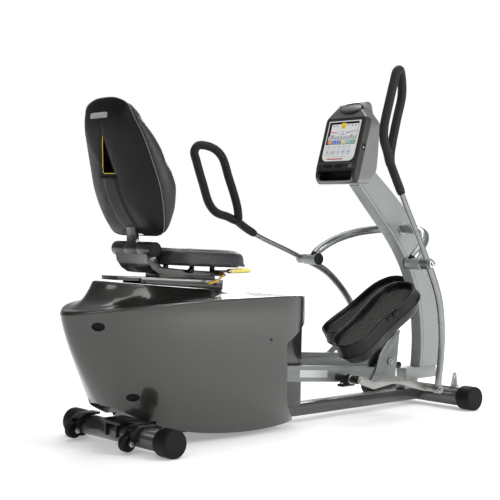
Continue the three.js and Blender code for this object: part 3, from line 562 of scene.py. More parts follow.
def join(name, objs):
    """One object from several; each keeps its own material."""
    mats, V, F, MI, SM = [], [], [], [], []
    base = 0
    sharp = []
    for o in objs:
        me = o.data
        V += [tuple(v.co) for v in me.vertices]
        off = []
        for mt in me.materials:
            if mt not in mats:
                mats.append(mt)
            off.append(mats.index(mt))
        for p in me.polygons:
            F.append(tuple(i + base for i in p.vertices))
            MI.append(off[p.material_index] if off else 0)
        at = me.attributes.get("sharp_edge")
        if at:
            for e in me.edges:
                if at.data[e.index].value:
                    sharp.append((e.vertices[0] + base, e.vertices[1] + base))
        base = len(V)
    me = bpy.data.meshes.new(name)
    me.from_pydata(V, [], F)
    for mt in mats:
        me.materials.append(mt)
    me.polygons.foreach_set("material_index", MI)
    me.polygons.foreach_set("use_smooth", [True] * len(F))
    if sharp:
        key = {tuple(sorted(e.vertices)): e.index for e in me.edges}
        at = me.attributes.new("sharp_edge", 'BOOLEAN', 'EDGE')
        for a, b in sharp:
            k = key.get((a, b) if a < b else (b, a))
            if k is not None:
                at.data[k].value = True
    me.update()
    n = bpy.data.objects.new(name, me)
    scene.collection.objects.link(n)
    for o in objs:
        d = o.data
        bpy.data.objects.remove(o)
        if d.users == 0:
            bpy.data.meshes.remove(d)
    return n


# floor, pale, with a painted glow: it emits light, more the farther it is from the machine
fl = bpy.data.meshes.new("floor")
fv, ff, G = [], [], 24
for i in range(G + 1):
    for j in range(G + 1):
        fv.append(((i / G - 0.5) * 60, (j / G - 0.5) * 60, -0.0004))
for i in range(G):
    for j in range(G):
        a = i * (G + 1) + j
        ff.append((a, a + G + 1, a + G + 2, a + 1))
fl.from_pydata(fv, [], ff)
floor = bpy.data.objects.new("floor", fl)
scene.collection.objects.link(floor)
fm = mk("floor_pale", (0.93, 0.93, 0.93), 0.75, var=0.01, vscale=0.8, bump=0.03, bscale=300, spec=0.2)
fm.node_tree.nodes["Principled BSDF"].inputs["Emission Color"].default_value = (1, 1, 1, 1)
fN, fL = fm.node_tree.nodes, fm.node_tree.links
f_tc = fN.new("ShaderNodeTexCoord")
f_len = fN.new("ShaderNodeVectorMath")
f_len.operation = 'LENGTH'
fL.new(f_tc.outputs["Object"], f_len.inputs[0])
# painted glow on the floor: emission strength rises with distance from the machine
floor_painted_glow_ramp = fN.new("ShaderNodeMapRange")
floor_painted_glow_ramp.interpolation_type = 'SMOOTHSTEP'
floor_painted_glow_ramp.inputs[1].default_value = 0.9
floor_painted_glow_ramp.inputs[2].default_value = 5.0
floor_painted_glow_ramp.inputs[3].default_value = 0.30
floor_painted_glow_ramp.inputs[4].default_value = 0.80
fL.new(f_len.outputs["Value"], floor_painted_glow_ramp.inputs[0])
fL.new(floor_painted_glow_ramp.outputs[0], fN["Principled BSDF"].inputs["Emission Strength"])
fl.materials.append(fm)

# ------------------------------------------------------------------ CAD nodes that stay: finish and softened edges
FIN = {
    "frame": ["base_beam", "rear_stabiliser", "front_stabiliser", "drive_frame"],
    "silver": ["front_beam", "front_riser", "pivot_hub_l", "pivot_hub_r"],
    "seatmetal": ["seat_rail", "seat_frame", "hinge_tube", "back_post"],
    "gray": ["pedal_bar_l", "pedal_bar_r", "pedal_bracket_l", "pedal_bracket_r"],
    "zinc": ["link_rod_l", "link_rod_r", "front_tab"],
    "steel": ["pivot_bolt_l", "pivot_bolt_r", "crank_shaft", "crank_arm_l", "crank_arm_r", "flywheel", "drive_pulley"],
    "blackmetal": ["rear_saddle", "wheel_bracket_l", "wheel_bracket_r", "link_axle_l", "link_axle_r"],
    "rubber": ["drive_belt"],
    "hull": ["front_panel"],
    "tray": ["tilt_knob_l", "tilt_knob_r", "lock_knob"],
}
BEV = {"base_beam": 3, "front_beam": 3, "front_riser": 3, "pedal_bar_l": 4, "pedal_bar_r": 4, "pedal_bracket_l": 1.2, "pedal_bracket_r": 1.2,
       "seat_rail": 1.2, "seat_frame": 1.0, "hinge_tube": 0.4, "back_post": 2.5, "link_rod_l": 1.5, "link_rod_r": 1.5, "front_tab": 0.8,
       "wheel_bracket_l": 1.2, "wheel_bracket_r": 1.2, "rear_saddle": 1.5, "link_axle_l": 1.2, "link_axle_r": 1.2, "pivot_bolt_l": 1.2, "pivot_bolt_r": 1.2,
       "tilt_knob_l": 2, "tilt_knob_r": 2, "lock_knob": 1.5, "front_panel": 1.0, "pivot_hub_l": 1.5, "pivot_hub_r": 1.5}
for key, names in FIN.items():
    for n in names:
        o = frame["nodes"][n]
        if len(o.data.materials) == 0:
            o.data.materials.append(M[key])
        for s_ in o.material_slots:
            s_.material = M[key]
        w = o.modifiers.new("weld", "WELD")
        w.merge_threshold = 0.00002
        if n in BEV:
            b_ = o.modifiers.new("bevel", "BEVEL")
            b_.width = BEV[n] / 1000
            b_.segments = 2
            b_.limit_method = 'ANGLE'
            b_.angle_limit = math.radians(38)
            b_.use_clamp_overlap = True
        shade(o, 38)


# ------------------------------------------------------------------ housing
NH = 160
rimHalf = [(775, 0, 502), (764, 90, 504), (735, 160, 508), (680, 214, 514), (600, 241, 519), (430, 252, 521), (220, 250, 519), (40, 228, 511), (-95, 182, 500), (-155, 134, 494), (-200, 82, 487), (-232, 34, 481), (-241, 0, 480)]
botHalf = [(770, 0, 40), (758, 60, 38), (730, 105, 34), (690, 130, 30), (600, 150, 24), (430, 156, 22), (220, 150, 42), (60, 134, 84), (-40, 112, 128), (-72, 96, 146), (-92, 60, 156), (-100, 30, 160), (-104, 0, 162)]
pedHalf = [(520, 0, 528), (512, 40, 529), (480, 78, 532), (420, 94, 541), (340, 99, 549), (240, 100, 558), (140, 100, 568), (40, 96, 578), (-30, 88, 585), (-62, 76, 588), (-86, 50, 590), (-98, 24, 592), (-100, 0, 592)]
holeHalf = [(404, 0, 533), (404, 34, 533), (404, 62, 534), (380, 66, 537), (330, 66, 541), (260, 66, 547), (200, 66, 553), (140, 66, 559), (90, 66, 564), (62, 66, 567), (56, 60, 568), (56, 30, 568), (56, 0, 568)]
rim, bot = outline(rimHalf, NH), outline(botHalf, NH)


def wall(v, t=0.0):
    hx, hy = 1 - (1 - v) ** 1.35, 1 - (1 - v) ** 2.5
    r = np.stack([bot[:, 0] + (rim[:, 0] - bot[:, 0]) * hx, bot[:, 1] + (rim[:, 1] - bot[:, 1]) * hy, bot[:, 2] + (rim[:, 2] - bot[:, 2]) * v], 1)
    return inset(r, t) if t else r


lv = [i / 46 for i in range(47)]
lip = [inset(wall(1), 1.2, 0.2), inset(wall(1), 3.8, 0.2)]
outer = [wall(v) for v in lv[:-1]] + [wall(1, 0) + np.array([0, 0, -1.4])]
inner = [wall(v, 5) for v in lv[::-3]]
hull = loft("hull_skin", outer + lip + [inset(wall(1), 5, -1.4)] + inner[1:-1] + [inset(wall(0.02), 6, 2)], M["hull"])


def prism(name, pts, y0, y1):
    return plate(name, pts, y0, y1, None, bevel=0)


cutters = [
    prism("c1", [(560, 210), (604, 170), (636, 100), (665, 70), (700, 40), (720, 10), (900, 10), (900, 406), (560, 406)], -195, 195),
    prism("c2", [(720, 10), (900, 10), (900, 406), (690, 406), (578, 346), (583, 300), (606, 188), (636, 100), (665, 70), (700, 40)], -320, 320),
    boxm("c3", -260, 900, -33.5, 33.5, -5, 104), boxm("c4", -260, 176, -62, 62, -5, 104.2), boxm("c5", 130, 430, -60, 60, 60, 140), boxm("c6", -52, 52, -262, 262, -5, 101)]


def hull_point(x, z, side=-1):
    """Point and outward normal of the skin nearest to x, z on one side."""
    best = None
    for v in np.linspace(0.02, 0.99, 98):
        r = wall(v)
        r = r[(r[:, 1] * side) > 0]
        d = (r[:, 0] - x) ** 2 + (r[:, 2] - z) ** 2
        k = int(np.argmin(d))
        if best is None or d[k] < best[0]:
            best = (d[k], r[k], v)
    p = best[1]
    h = 4.0
    # normal from neighbours on the analytic surface
    ring, v = wall(best[2]), best[2]
    k = int(np.argmin(np.linalg.norm(ring - p, axis=1)))
    tu = ring[(k + 1) % NH] - ring[k - 1]
    tv = wall(min(v + 0.02, 1))[k] - wall(v - 0.02)[k]
    n = np.cross(tu, tv)
    n /= np.linalg.norm(n)
    if n[1] * side < 0:
        n = -n
    return p, n


def disc_rings(p, n, prof, a=1.0, b=1.0, seg=40, up=(0, 0, 1)):
    """Rings round the axis n at p; prof is (radius, height along n)."""
    n = np.array(n, float)
    u = np.array(up, float) - n * np.dot(up, n)
    u /= np.linalg.norm(u)
    w = np.cross(n, u)
    t = np.linspace(0, 2 * math.pi, seg, endpoint=False)
    return [p + n * h + r * (a * np.cos(t)[:, None] * w + b * np.sin(t)[:, None] * u) for r, h in prof]


plugs = []
for i, (x, z) in enumerate(((-172, 442), (-53, 194))):
    for sd in (-1, 1):
        p, n = hull_point(x, z, sd)
        cutters.append(loft("hole", disc_rings(p, n, [(16.5, -14), (16.5, 14)], 1.25, 0.8), None))
        plugs.append(loft("plug", disc_rings(p, n, [(0.01, -7.5), (12, -7.5), (15.6, -5.5), (16.2, -2.5), (16.2, 0.4), (17.6, 1.2), (18.8, 0.9), (19.4, -0.4), (19.2, -3.0), (17.0, -12), (0.01, -12)], 1.25, 0.8), M["con_black"], caps=False))
carve(hull, cutters, 28)
put(hull, "root", "housing_gloss", "housing_shell")
plug = join("housing_plugs", plugs)
put(plug, "root", "tray_plastic")
# screw dimples along the side, with their screws
# a screw in the side of the housing, one on each side
scr = []
for sd in (-1, 1):
    for x, z in ((492, 368),):
        p, n = hull_point(x, z, sd)
        scr.append(loft("screw", disc_rings(p, n, [(0.01, 0.2), (2.2, 0.2), (2.4, 1.4), (5.2, 1.7), (6.4, 1.1), (7.0, -0.3), (7.0, -3), (0.01, -3)], 1, 1, 24), M["blackmetal"], caps=False))
put(join("housing_screws", scr), "root", "bolt_steel")

# deck cover
ped, hole = outline(pedHalf, NH), outline(holeHalf, NH)
rimTop = inset(rim, 1, 0.35)


def mixr(h, v):
    return np.stack([rimTop[:, 0] + (ped[:, 0] - rimTop[:, 0]) * h, rimTop[:, 1] + (ped[:, 1] - rimTop[:, 1]) * h, rimTop[:, 2] + (ped[:, 2] - rimTop[:, 2]) * v], 1)


dprof = catmull([(0.012, 0.045, 0), (0.03, 0.10, 0), (0.32, 0.16, 0), (0.62, 0.36, 0), (0.85, 0.72, 0), (0.96, 0.96, 0), (0.985, 0.995, 0)], False, 30)
dout = [rimTop, inset(rimTop, -0.6, 1.6)] + [mixr(p[0], p[1]) for p in dprof] + [inset(ped, 4, 1.0), inset(ped, 10, 1), (inset(ped, 10, 1) + hole) / 2, hole]
din = [hole - np.array([0, 0, 5.0]), inset(ped, 15, -5), inset(mixr(0.85, 0.72), 5, -3), inset(mixr(0.62, 0.36), 4, -4), inset(mixr(0.32, 0.16), 3, -4), inset(rimTop, 12, 0)]
deck = loft("deck_skin", dout + din, M["hull"], loop_rings=True, smooth=32)
put(deck, "root", "housing_gloss", "deck_cover")

# points along the front opening of the housing wall; no trim is built from them
edge = [(588, 352), (583, 300), (606, 188), (636, 100), (665, 70), (698, 42)]

# ------------------------------------------------------------------ column
colR = [(1535, 160.4), (1542, 230), (1541, 330), (1526, 440), (1496, 530), (1452, 615), (1381, 712), (1270, 828), (1160, 942)]
colF = [(1660, 160.4), (1668, 300), (1662, 420), (1636, 540), (1585, 655), (1510, 768), (1425, 861), (1238, 1015), (1222, 1026)]
NR = 80
cr_ = respace(catmull([(a, 0, b) for a, b in colR], False, 200), NR)
cf_ = respace(catmull([(a, 0, b) for a, b in colF], False, 200), NR)


def col_section(a, b, r=6.0):
    """Rounded box section between rear point a and front point b, with a joint line on each side behind the rear edge."""
    d = b - a
    L = np.linalg.norm(d)
    d = d / L
    pts = []
    half = 30.0
    groove = [(13.0, 0), (13.0, -1.8), (15.0, -1.8), (15.0, 0)]
    def arc(cx, cy, t0, t1, k=4):
        return [(cx + r * math.cos(t0 + (t1 - t0) * i / k), cy + r * math.sin(t0 + (t1 - t0) * i / k)) for i in range(k + 1)]
    s = arc(r, half - r, math.pi, math.pi / 2)
    s += [(g, half + q) for g, q in groove]
    s += [(L * 0.5, half)]
    s += arc(L - r, half - r, math.pi / 2, 0)
    s += arc(L - r, -half + r, 0, -math.pi / 2)
    s += [(L * 0.5, -half)]
    s += [(g, -half - q) for g, q in groove[::-1]]
    s += arc(r, -half + r, -math.pi / 2, -math.pi)
    return np.array([a + d * u + np.array([0, w, 0]) for u, w in s])


column = loft("column_skin", [col_section(a, b) for a, b in zip(cr_, cf_)], M["silver"], smooth=30)
put(column, "root", "silver_paint", "column")

# ------------------------------------------------------------------ crossbar with collars
crossHalf = [(1208, 286, 648), (1232, 286, 668), (1296, 264, 708), (1360, 206, 740), (1406, 112, 757)]
cross = [(a, -b, c) for a, b, c in crossHalf] + [(1420, 0, 761)] + crossHalf[::-1]
cp = respace(catmull(cross, False, 300), 120)
bar = [tube("crossbar_tube", cp, 19, M["arm"], seg=36)]
T_, N_, B_ = frames(cp)
for sd in (-1, 1):
    k = int(np.argmin(np.abs(cp[:, 1] - sd * 34)))
    ring = [(19.3, -6), (22.8, -6), (23.4, -5), (23.4, 5), (22.8, 6), (19.3, 6)]
    bar.append(loft("collar", disc_rings(cp[k], T_[k], ring, seg=40, up=(0, 0, 1)), M["steel"], loop_rings=True))
put(join("crossbar_skin", bar), "root", "silver_paint", "crossbar")

# ------------------------------------------------------------------ arms and grips
PX, PZ = 1206, 628
TH = -math.radians(42.2)


def turn(p, th, cx, cz):
    c, s = math.cos(th), math.sin(th)
    dx, dz = p[0] - cx, p[2] - cz
    return (cx + dx * c + dz * s, p[1], cz - dx * s + dz * c)


def side_r(p):
    return tuple(p)


def side_l(p):
    return turn((p[0], -p[1], p[2]), TH, PX, PZ)


Y0 = -368
lowPts = [(1270, Y0, 121), (1273, Y0, 168), (1283, Y0, 230), (1291, Y0, 322), (1286, Y0, 415), (1273, Y0, 484), (1250, Y0, 545), (1227, Y0, 592), (1206, Y0, 632)]
upPts = [(1214, Y0, 614), (1158, -364, 728), (1098, -358, 842), (1064, -353, 914), (1046, -347, 958)]
sleeveP = [(1066.5, -353.4, 909), (1046, -347, 958), (1024, -336, 1020), (1022, -333, 1030)]
loopP = [(1026, -333, 1020), (1000, -342, 1066), (974, -349, 1112), (972, -352, 1160), (1002, -348, 1250), (1034, -344, 1336), (1052, -341, 1376), (1078, -333, 1384), (1112, -312, 1344), (1122, -303, 1290), (1092, -305, 1196), (1060, -310, 1100), (1042, -318, 1052)]
for tag, mp in (("r", side_r), ("l", side_l)):
    sy = -1 if tag == "r" else 1
    low = np.array([mp(p) for p in respace(catmull(lowPts, False, 200), 60)])
    up = np.array([mp(p) for p in respace(catmull(upPts, False, 120), 30)])
    parts = [tube("low", low, 12, M["arm"], b=15.5, seg=32, ref=(0, 1, 0)), tube("up", up, 11, M["arm"], seg=28)]
    pv = mp((PX, 0, PZ))
    parts.append(lathe("boss", [(9.4, -20.3), (20.8, -20.3), (22, -19), (22, 19), (20.8, 20.3), (9.4, 20.3)], (pv[0], sy * 361.4, pv[2]), M["arm"]))
    e = mp((1270, 0, 126))
    parts.append(lathe("eye", [(6.4, -15.6), (16, -15.6), (17, -14.5), (17, 14.5), (16, 15.6), (6.4, 15.6)], (e[0], sy * 366, e[2]), M["arm"]))
    put(join("arm_skin_" + tag, parts), "arm_" + tag, "silver_paint", "arm_tube_" + tag)
    lp = respace([mp(p) for p in catmull(loopP, True, 400)], 150, True)
    sl = np.array([mp(p) for p in respace(catmull(sleeveP, False, 60), 26)])
    tp = np.ones(26)
    tp[0], tp[1], tp[2] = 0.86, 0.97, 1.0
    g = [tube("loop", lp, 17.5, M["foam"], seg=28, closed=True), tube("sleeve", sl, 17, M["foam"], seg=28, taper=tp)]
    # rubber ferrule where the foam ends on the tube
    t0 = (sl[1] - sl[0]) / np.linalg.norm(sl[1] - sl[0])
    g.append(loft("ferrule", disc_rings(sl[0], t0, [(11.3, -7), (13.6, -7), (14.8, -5.5), (15.2, -2), (15.4, 1.5), (11.3, 1.5)], seg=32, up=(0, 1, 0)), M["rubber"], loop_rings=True))
    put(join("grip_skin_" + tag, g), "arm_" + tag, "grip_foam", "grip_" + tag)


# ------------------------------------------------------------------ foot trays
TA = math.radians(29.7)
TC, TS = math.cos(TA), math.sin(TA)


def lean(u):
    return -8 - (420 - u) * 0.075


def tray_at(sd):
    def f(u, v, w):
        v = v + lean(u)
        y = -165 + v if sd < 0 else 165 - v
        return (878 + u * TC - w * TS + (0 if sd < 0 else 324), y, 313 + u * TS + w * TC)
    return f


trayHalf = [(474, 0, 0), (462, 50, 0), (420, 82, 0), (362, 90, 0), (280, 84, 0), (200, 78, 0), (120, 82, 0), (60, 78, 0), (18, 52, 0), (0, 0, 0)]
trim_ = respace(outline(trayHalf, 300), 144, True)


def tfoot(r):
    u = r[:, 0]
    q = r.copy()
    q[:, 0] = np.where(u < 60, 34 + (u - 34) * 0.55 + 10, np.where(u > 400, 400 + (u - 400) * 0.55, u))
    q[:, 1] = r[:, 1] * 0.8
    return q


def tz(r, w):
    q = r.copy()
    q[:, 2] = w
    return q


wide = trim_.copy()
wide[:, 0] = 20 + (wide[:, 0] - 20) * 1.045
wide[:, 1] *= 0.97
for tag, sd in (("r", -1), ("l", 1)):
    at = tray_at(sd)
    def lay(ring):
        return np.array([at(*p) for p in ring])
    mid = lambda a, b, t: a * (1 - t) + b * t
    ft = tz(tfoot(trim_), -100)
    wd = tz(wide, -62)
    rings = [tz(inset(ft, 7), -100), tz(inset(ft, 2), -99.4), mid(ft, wd, 0.06)]
    rings += [mid(ft, wd, t) for t in (0.3, 0.6, 0.85)]
    rings += [tz(inset(wide, 0.2), -61), tz(inset(wide, 2.2), -58.5), tz(inset(mid(wide, trim_, 0.3), 1.6), -40), tz(inset(trim_, 1.2), -14),
              tz(inset(trim_, 0.9), -10), tz(inset(trim_, -0.2), -8.6), tz(trim_, -3.2), tz(inset(trim_, 0.9), -0.8), tz(inset(trim_, 2.2), 0), tz(inset(trim_, 3.6), 0), tz(inset(trim_, 4.6), -0.9),
              tz(inset(trim_, 5.2), -3.2), tz(inset(trim_, 7.4), -3.6), tz(inset(trim_, 8.0), -5.0), tz(inset(trim_, 8.6), -16), tz(inset(trim_, 9.6), -27), tz(inset(trim_, 12), -30), tz(inset(trim_, 16), -30.4)]
    body = loft("tray_body", [lay(r) for r in rings], M["tray"], smooth=40)
    parts = [body]
    # tread with ribs that wave across the sole
    inn = inset(trim_, 11)
    top = inn[inn[:, 1] >= 0]
    top = top[np.argsort(top[:, 0])]
    us = np.linspace(top[0, 0] + 3, top[-1, 0] - 3, 230)
    rows = []
    for u in us:
        hw = max(2.0, float(np.interp(u, top[:, 0], top[:, 1])))
        row = []
        for t in np.linspace(-1, 1, 33):
            v = hw * t
            edge_ = max(0.0, min(1.0, (hw - abs(v)) / 5.0, (u - us[0]) / 8.0 + 0.02, (us[-1] - u) / 8.0 + 0.02))
            ph = (u + 3.2 * math.sin(v * 0.125)) / 13.5 * 2 * math.pi
            rib = max(0.0, math.sin(ph)) ** 0.7 * 3.2
            row.append(at(u, v, -30.2 + edge_ * (1.2 + rib)))
        rows.append(np.array(row))
    parts.append(loft("tread", rows, M["tread"], closed=False, smooth=60))
    # carrier block, cut back along the bracket top
    blk = []
    for (u, w) in ((246, -97), (338, -97), (338, -112), (322, -134), (300, -137), (258, -120), (246, -110)):
        blk.append((u, w))
    parts.append(plate("block", blk, -24, 24, M["tray"], bevel=2.0, place=lambda a, b, y: at(a, y - lean(a), b)))
    # buckles at the waist
    for sv in (-1, 1):
        for u0, u1, w0, w1 in ((226, 252, -30, -9), (262, 292, -34, -10)):
            hw = float(np.interp((u0 + u1) / 2, top[:, 0], top[:, 1])) + 9.5
            parts.append(plate("buckle", [(u0, w0), (u1, w0 + 2), (u1, w1 - 2), (u1 - 5, w1), (u0 + 5, w1), (u0, w1 - 4)], sv * hw, sv * (hw + 3.6), M["tray"], bevel=1.0, place=lambda a, b, y: at(a, y, b)))
    t = join("tray_skin_" + tag, parts)
    put(t, "tray_" + tag, "tray_plastic", "foot_tray_" + tag)

# ------------------------------------------------------------------ seat back: shell, label plate, piping
NB = 160
backHalf = [(-65, 0, 1234), (-63.5, 70, 1229), (-58, 130, 1205), (-47, 152, 1160), (-24, 172, 1098), (4, 189, 1007), (30, 200, 914), (52, 188, 832), (72, 158, 766), (78, 120, 752), (79, 60, 750), (79, 0, 750)]
backRing = respace(outline(backHalf, 400), NB, True)
bc = np.array([15.0, 0, 960.0])


def shr(k, dx):
    r = backRing.copy()
    r[:, 0] = bc[0] + (r[:, 0] - bc[0]) * k + dx
    r[:, 1] *= k
    r[:, 2] = bc[2] + (r[:, 2] - bc[2]) * k
    return r


op_ = catmull([(0.02, -67.5, 0), (0.3, -65, 0), (0.55, -56, 0), (0.8, -36, 0), (0.94, -14, 0), (0.985, -4, 0), (1.0, 0, 0)], False, 44)
ip_ = catmull([(0.97, 0, 0), (0.91, -9, 0), (0.77, -30, 0), (0.53, -51, 0), (0.28, -59, 0), (0.02, -61, 0)], False, 16)
shell = loft("shell", [shr(p[0], p[1]) for p in op_] + [shr(0.99, 0.6)] + [shr(p[0], p[1]) for p in ip_], M["shell"], smooth=40)


def tri_sd(y, z, T):
    """Signed distance to a triangle in the YZ plane, negative inside."""
    d, inside = 1e9, True
    for i in range(3):
        (y0, z0), (y1, z1) = T[i], T[(i + 1) % 3]
        ey, ez = y1 - y0, z1 - z0
        t = max(0, min(1, ((y - y0) * ey + (z - z0) * ez) / (ey * ey + ez * ez)))
        d = min(d, math.hypot(y - y0 - t * ey, z - z0 - t * ez))
        if ey * (z - z0) - ez * (y - y0) > 0:
            inside = False
    return -d if inside else d


HT = [(-10, 1104), (40, 972), (-32, 970)]
BT = [(-8, 1170), (56, 954), (-50, 952)]


def sstep(a, b, x):
    t = max(0.0, min(1.0, (x - a) / (b - a)))
    return t * t * (3 - 2 * t)


n_out = (45 + 1) * NB
me = shell.data
for v in me.vertices:
    x, y, z = v.co.x * 1000 + OX, v.co.y * 1000, v.co.z * 1000
    if y * y < 150 ** 2 and 740 < z < 1240:
        k = 0.0
        # raised middle band below the hand hole, running down to the post
        if z < 985:
            hw = 34 + (985 - z) * 0.035
            k -= 5.0 * (1 - sstep(hw - 4, hw + 5, abs(y + 4))) * sstep(985, 955, z) * sstep(765, 800, z)
        # hollow round the hand hole, deepest at its foot
        sd_ = tri_sd(y, z, BT)
        k += 8.0 * (1 - sstep(-11, 1, sd_)) * sstep(1180, 1010, z)
        v.co.x += k / 1000
shell.data.update()
bvh = BVHTree.FromObject(shell, bpy.context.evaluated_depsgraph_get())


def on_shell(y, z, lift=0.0):
    hit = bvh.ray_cast(Vector((-1.2, y / 1000, z / 1000)), Vector((1, 0, 0)))
    h = hit[0].x * 1000 + OX
    return (h - lift, y, z), hit[1]


hole_ = plate("hole", HT, -150, 60, None, bevel=0, place=lambda a, b, y: (y, a, b))
notch = boxm("notch", -60, 100, -31, 31, 690, 772)
carve(shell, [hole_, notch], 35)
put(shell, "back", "shell_plastic", "back_shell")
# yellow edging of the hand hole and a dark lining
ypts = [on_shell(-10 + 50 * t + 0.5, 1104 - 132 * t, 0.4)[0] for t in np.linspace(0.02, 0.93, 16)]
corner = [on_shell(38.5, 976, 0.4)[0], on_shell(36, 971, 0.4)[0]]
ypts2 = [on_shell(y, 970.5 - 1.5 * (31 - y) / 63, 0.4)[0] for y in np.linspace(31, -32, 12)]
yl = tube("hole_line", respace(catmull(ypts + corner + ypts2, False, 200), 70), 1.7, M["yline"], seg=12, round_end=1.0)
put(yl, "back", "lever_yellow")
gl = [on_shell(-10 - 22 * t - 0.8, 1104 - 134 * t, 0.2)[0] for t in np.linspace(0.0, 0.96, 16)]
put(tube("hole_rim", respace(catmull(gl, False, 100), 40), 2.0, M["shell"], seg=12, round_end=1.0), "back", "shell_plastic")
# blank badge plate
bp_ = []
for lift in (0.2, 2.2):
    ring = []
    for k in range(48):
        a = 2 * math.pi * k / 48
        cx, cy = math.cos(a), math.sin(a)
        e = (abs(cx) ** 8 + abs(cy) ** 8) ** (-1 / 8)
        ring.append(on_shell(10 + 54 * cx * e, 1172 + 10 * cy * e, lift)[0])
    bp_.append(np.array(ring))
c0 = bp_[1].mean(0)
bp_.append(c0 + (bp_[1] - c0) * 0.97 - np.array([0.5, 0, 0]))
put(loft("back_badge", bp_, M["blank"], smooth=30), "back", "link_metal")
# piping bead round the shell rim; its silver-grey colour is a painted highlight of the rim edge
put(tube("back_piping_painted_highlight", shr(1.0, -1.2) * np.array([1, 1, 1]), 1.7, M["piping"], seg=14, closed=True), "back", "vinyl")

# ------------------------------------------------------------------ cushions
TK = [(740, 24), (763, 32), (844, 72), (926, 96), (977, 96), (1056, 84), (1139, 62), (1210, 38), (1240, 20)]
tkz, tkv = np.array([t[0] for t in TK], float), np.array([t[1] for t in TK], float)


def puff(o, cap, pin, voxel=0.006, pressure=4.0, frames_=20, soften=6):
    """Remesh, blow up a little as cloth, cap each point's travel, and leave a plain mesh."""
    bake(o, [("REMESH", dict(mode='VOXEL', voxel_size=voxel, use_smooth_shade=True))])
    n = len(o.data.vertices)
    rest = np.zeros(n * 3)
    o.data.vertices.foreach_get("co", rest)
    rest = rest.reshape(-1, 3)
    g = o.vertex_groups.new(name="pin")
    for i, c in enumerate(rest):
        w = pin(c[0] * 1000 + OX, c[1] * 1000, c[2] * 1000)
        if w > 0:
            g.add([i], float(w), 'REPLACE')
    m = o.modifiers.new("cloth", 'CLOTH')
    s = m.settings
    s.quality = 4
    s.mass = 0.3
    s.tension_stiffness = 18
    s.compression_stiffness = 18
    s.shear_stiffness = 6
    s.bending_stiffness = 1.2
    s.use_pressure = True
    s.uniform_pressure_force = pressure
    s.effector_weights.gravity = 0
    s.vertex_group_mass = "pin"
    m.point_cache.frame_start = 1
    m.point_cache.frame_end = frames_ + 2
    for f in range(1, frames_ + 1):
        scene.frame_set(f)
    dg = bpy.context.evaluated_depsgraph_get()
    ev = o.evaluated_get(dg).to_mesh()
    new = np.zeros(n * 3)
    ev.vertices.foreach_get("co", new)
    new = new.reshape(-1, 3)
    o.evaluated_get(dg).to_mesh_clear()
    o.modifiers.clear()
    d = new - rest
    L = np.linalg.norm(d, axis=1, keepdims=True)
    d *= np.minimum(1.0, (cap / 1000) / np.maximum(L, 1e-9))
    o.data.vertices.foreach_set("co", (rest + d).reshape(-1))
    o.data.update()
    scene.frame_set(1)
    o.vertex_groups.clear()
    bake(o, [("SMOOTH", dict(factor=0.5, iterations=soften)), ("SUBSURF", dict(levels=1, render_levels=1))])
    shade(o, 80)
    return o


def crease(o, curve, width, depth, direction):
    """Presses the surface in along a curve of mm points."""
    from mathutils.kdtree import KDTree
    kd = KDTree(len(curve))
    for i, p in enumerate(curve):
        kd.insert(S(p), i)
    kd.balance()
    d = Vector(direction)
    for v in o.data.vertices:
        _, _, r = kd.find(v.co)
        if r < width * 3 / 1000:
            v.co += d * (depth / 1000) * math.exp(-(r * 1000 / width) ** 2)
    o.data.update()


def cush(k, f, dx=0.0, thin=1.0):
    r = shr(k, 0)
    r[:, 0] += np.interp(r[:, 2], tkz, tkv) * f * thin + dx
    return r


cprof = catmull([(0.90, 0.0, 2.5), (0.955, 0.0, 2.2), (0.975, 0.10, 1.5), (0.99, 0.42, 0), (0.955, 0.74, 0), (0.86, 0.92, 0), (0.6, 0.97, 0), (0.3, 0.985, 0), (0.03, 0.985, 0)], False, 30)
bcush = loft("back_pad", [cush(max(p[0], 0.02), p[1], p[2]) for p in cprof], M["vinyl"])


def back_x(y, z):
    """Seat back plane at a height."""
    zz = np.array([1234, 1205, 1160, 1098, 1007, 914, 832, 766, 750.0])[::-1]
    xx = np.array([-65, -58, -47, -24, 4, 30, 52, 72, 79.0])[::-1]
    return float(np.interp(z, zz, xx))


puff(bcush, 16, lambda x, y, z: 1.0 if x < back_x(y, z) + 7 else (0.35 if x < back_x(y, z) + 14 else 0.0))
cb = BVHTree.FromObject(bcush, bpy.context.evaluated_depsgraph_get())


def on_back(y, z, lift=0.0):
    h = cb.ray_cast(Vector((1.0, y / 1000, z / 1000)), Vector((-1, 0, 0)))
    if h[0] is None:
        return None
    p, n = h[0], h[1]
    return (p.x * 1000 + OX + n.x * lift, p.y * 1000 + n.y * lift, p.z * 1000 + n.z * lift)


loop_ = [on_back(p[1], p[2]) for p in shr(0.84, 0)]
loop_ = respace([p for p in loop_ if p], 200, True)
lines = []
for z0, bow in ((892, 10), (1072, -8)):
    half_w = 0.82 * float(np.interp(z0, [750, 766, 832, 914, 1007, 1098, 1160, 1205, 1234], [60, 158, 188, 200, 189, 172, 152, 130, 20]))
    ln = [on_back(y, z0 + bow * (y / half_w) ** 2) for y in np.linspace(-half_w, half_w, 60)]
    lines.append([p for p in ln if p])
crease(bcush, loop_, 5.5, 4.5, (-1, 0, 0))
for ln in lines:
    crease(bcush, ln, 6.5, 5.5, (-1, 0, 0))
put(bcush, "back", "vinyl", "back_cushion")
cb = BVHTree.FromObject(bcush, bpy.context.evaluated_depsgraph_get())
loop2 = [on_back(p[1], p[2], 0.6) for p in shr(0.84, 0)]
loop2 = respace([p for p in loop2 if p], 220, True)
welts = [tube("welt", loop2, 2.3, M["vinyl"], seg=10, closed=True)]
for ln in lines:
    q = [on_back(p[1], p[2], 0.2) for p in ln]
    welts.append(tube("seam", respace([p for p in q if p], 60), 1.1, M["vinyl"], seg=8))
put(join("back_welts", welts), "back", "vinyl")


